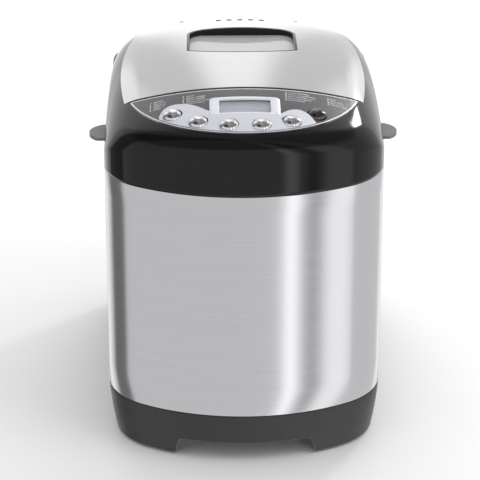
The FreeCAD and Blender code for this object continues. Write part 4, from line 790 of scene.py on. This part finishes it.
# A column of the list: left, back, first number, count of rows and how long its strokes run.
columns = [(-76.5, -104.5, 1, 5, 0.85), (-49.8, -105.0, 6, 5, 1.35), (32.6, -102.6, 11, 5, 2.0),
           (67.0, -102.5, 16, 4, 0.9)]
digit_wide, digit_tall, digit_gap, line_pitch, dash_pitch = 0.62, 1.35, 1.05, 2.85, 0.86
words = ((5.5, 3.2), (8.4,), (4.2, 6.2), (6.8,), (3.4, 7.0), (9.0, 4.5), (5.0,), (7.5, 3.0), (10.5,), (4.8, 5.6))
list_ink, frame_ink = [], []
for left, back, first, amount, spread in columns:
    for row in range(amount):
        base_line = back - line_pitch * row
        list_ink.append(number_bars(str(first + row), left, base_line, digit_wide, digit_tall, digit_gap))
        run = left + 3.0
        for width in words[(first + row * 3) % len(words)]:
            dashes = np.arange(run, run + width * spread, dash_pitch)
            heights = 0.95 + 0.4 * np.cos(dashes * 7.0)
            start_y = np.full_like(dashes, base_line)
            list_ink.append(np.c_[dashes, start_y, dashes + 0.2, base_line + heights])
            run += width * spread + 1.1
mark_x, mark_half, mark_y, mark_pitch, mark_rows = 24.8, 1.1, -132.4, 3.9, 4
for side in (-mark_x, mark_x):
    for row in range(mark_rows):
        line = mark_y + mark_pitch * row
        frame_ink.append(np.array([(side - mark_half, line, side + mark_half, line)]))
ink_white, tree, shader = new_material("panel_ink")
shader.inputs["Roughness"].default_value = 0.5
tinted(tree, shader, (0.64, 0.65, 0.67), (0.72, 0.73, 0.74), 60.0)
for name, ink, weight, lift, colour in (("panel_print", list_ink, 0.36, -0.08, ink_white),
                                        ("frame_print", frame_ink, 0.9, 0.66, display_face)):
    printed = print_bars(name, np.vstack(ink), weight, lambda x, y: crown_z(x, y) + lift)
    printed.data.materials.append(colour)
    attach(printed, "housing")

start_spot, ellipse = (58.8, -129.5), (11.9, 8.1)
turn = np.linspace(0, 2 * math.pi, 97)[:-1]
pointed = np.c_[np.abs(np.cos(turn)) ** 1.25 * np.sign(np.cos(turn)),
                np.abs(np.sin(turn)) ** 1.1 * np.sign(np.sin(turn))]
rings = []
for grow in (0.0, -0.45):
    rings.append(off_deck(np.array(start_spot) + (np.array(ellipse) + grow) * pointed, -0.075))
red_oval = ring_piece("red_oval", rings[::-1])
ink_red, tree, shader = new_material("oval_ink")
shader.inputs["Roughness"].default_value = 0.45
tinted(tree, shader, (0.30, 0.03, 0.04), (0.36, 0.045, 0.055), 60.0)
red_oval.data.materials.append(ink_red)
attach(red_oval, "housing")
dress(display_face, "lcd_module")
dress(display_glass, "lcd_window")

# ---------------------------------------------------------------- keys
# Six domed push keys: five chromed and one dark, for starting, on the red oval. Each is
# moulded, plated and slides in its own hole.
chrome = metal("chrome_key", (0.72, 0.72, 0.74), (0.78, 0.78, 0.80), 0.05, 0.10, 0.0)
dark_chrome = metal("dark_key", (0.10, 0.10, 0.105), (0.13, 0.13, 0.135), 0.08, 0.14, 0.0)
key_words = ("far_left", "left", "mid_left", "mid_right", "right")
dress(chrome, *("button_" + word for word in key_words))
dress(dark_chrome, "button_start")

# ---------------------------------------------------------------- pan, handle and paddle
# The pan is pressed aluminium with a dark non-stick coat, as is the cast paddle. Its wire
# handle is plated steel, hooked into two ears.
non_stick = moulded("non_stick", (0.045, 0.045, 0.047), (0.062, 0.06, 0.06), 0.32, 0.45, 0.00003, 800.0)
dress(non_stick, "bread_pan", "kneading_paddle")
dress(zinc, "pan_handle")

# ---------------------------------------------------------------- lid
# Gloss black clamshell with a brushed steel skin let into its top, a double-glazed window in a
# stepped black surround, a pressed steel inner dome and a frame with a grip at each side.
skin_steel = brushed("skin_steel", (8, 3400, 8), (0.60, 0.60, 0.60), (0.66, 0.66, 0.655), 0.10, 0.17,
                     0.0000008, 0.6)
window_pane, tree, shader = new_material("window_pane")
shader.inputs["Transmission Weight"].default_value = 0.5
shader.inputs["Roughness"].default_value = 0.03
shader.inputs["IOR"].default_value = 1.5
tinted(tree, shader, (0.74, 0.75, 0.745), (0.80, 0.81, 0.80), 20.0)
grip_grey = moulded("grip_grey", (0.15, 0.15, 0.14), (0.175, 0.175, 0.165), 0.38, 0.5, 0.00002, 1400.0)
seal_silicone = moulded("seal_silicone", (0.40, 0.40, 0.39), (0.46, 0.46, 0.45), 0.55, 0.7)
dress(gloss_black, "lid_shell", "window_bezel")
dress(skin_steel, "lid_skin")
dress(window_pane, "window_glass")
dress(grip_grey, "lid_frame")
dress(seal_silicone, "lid_seal")
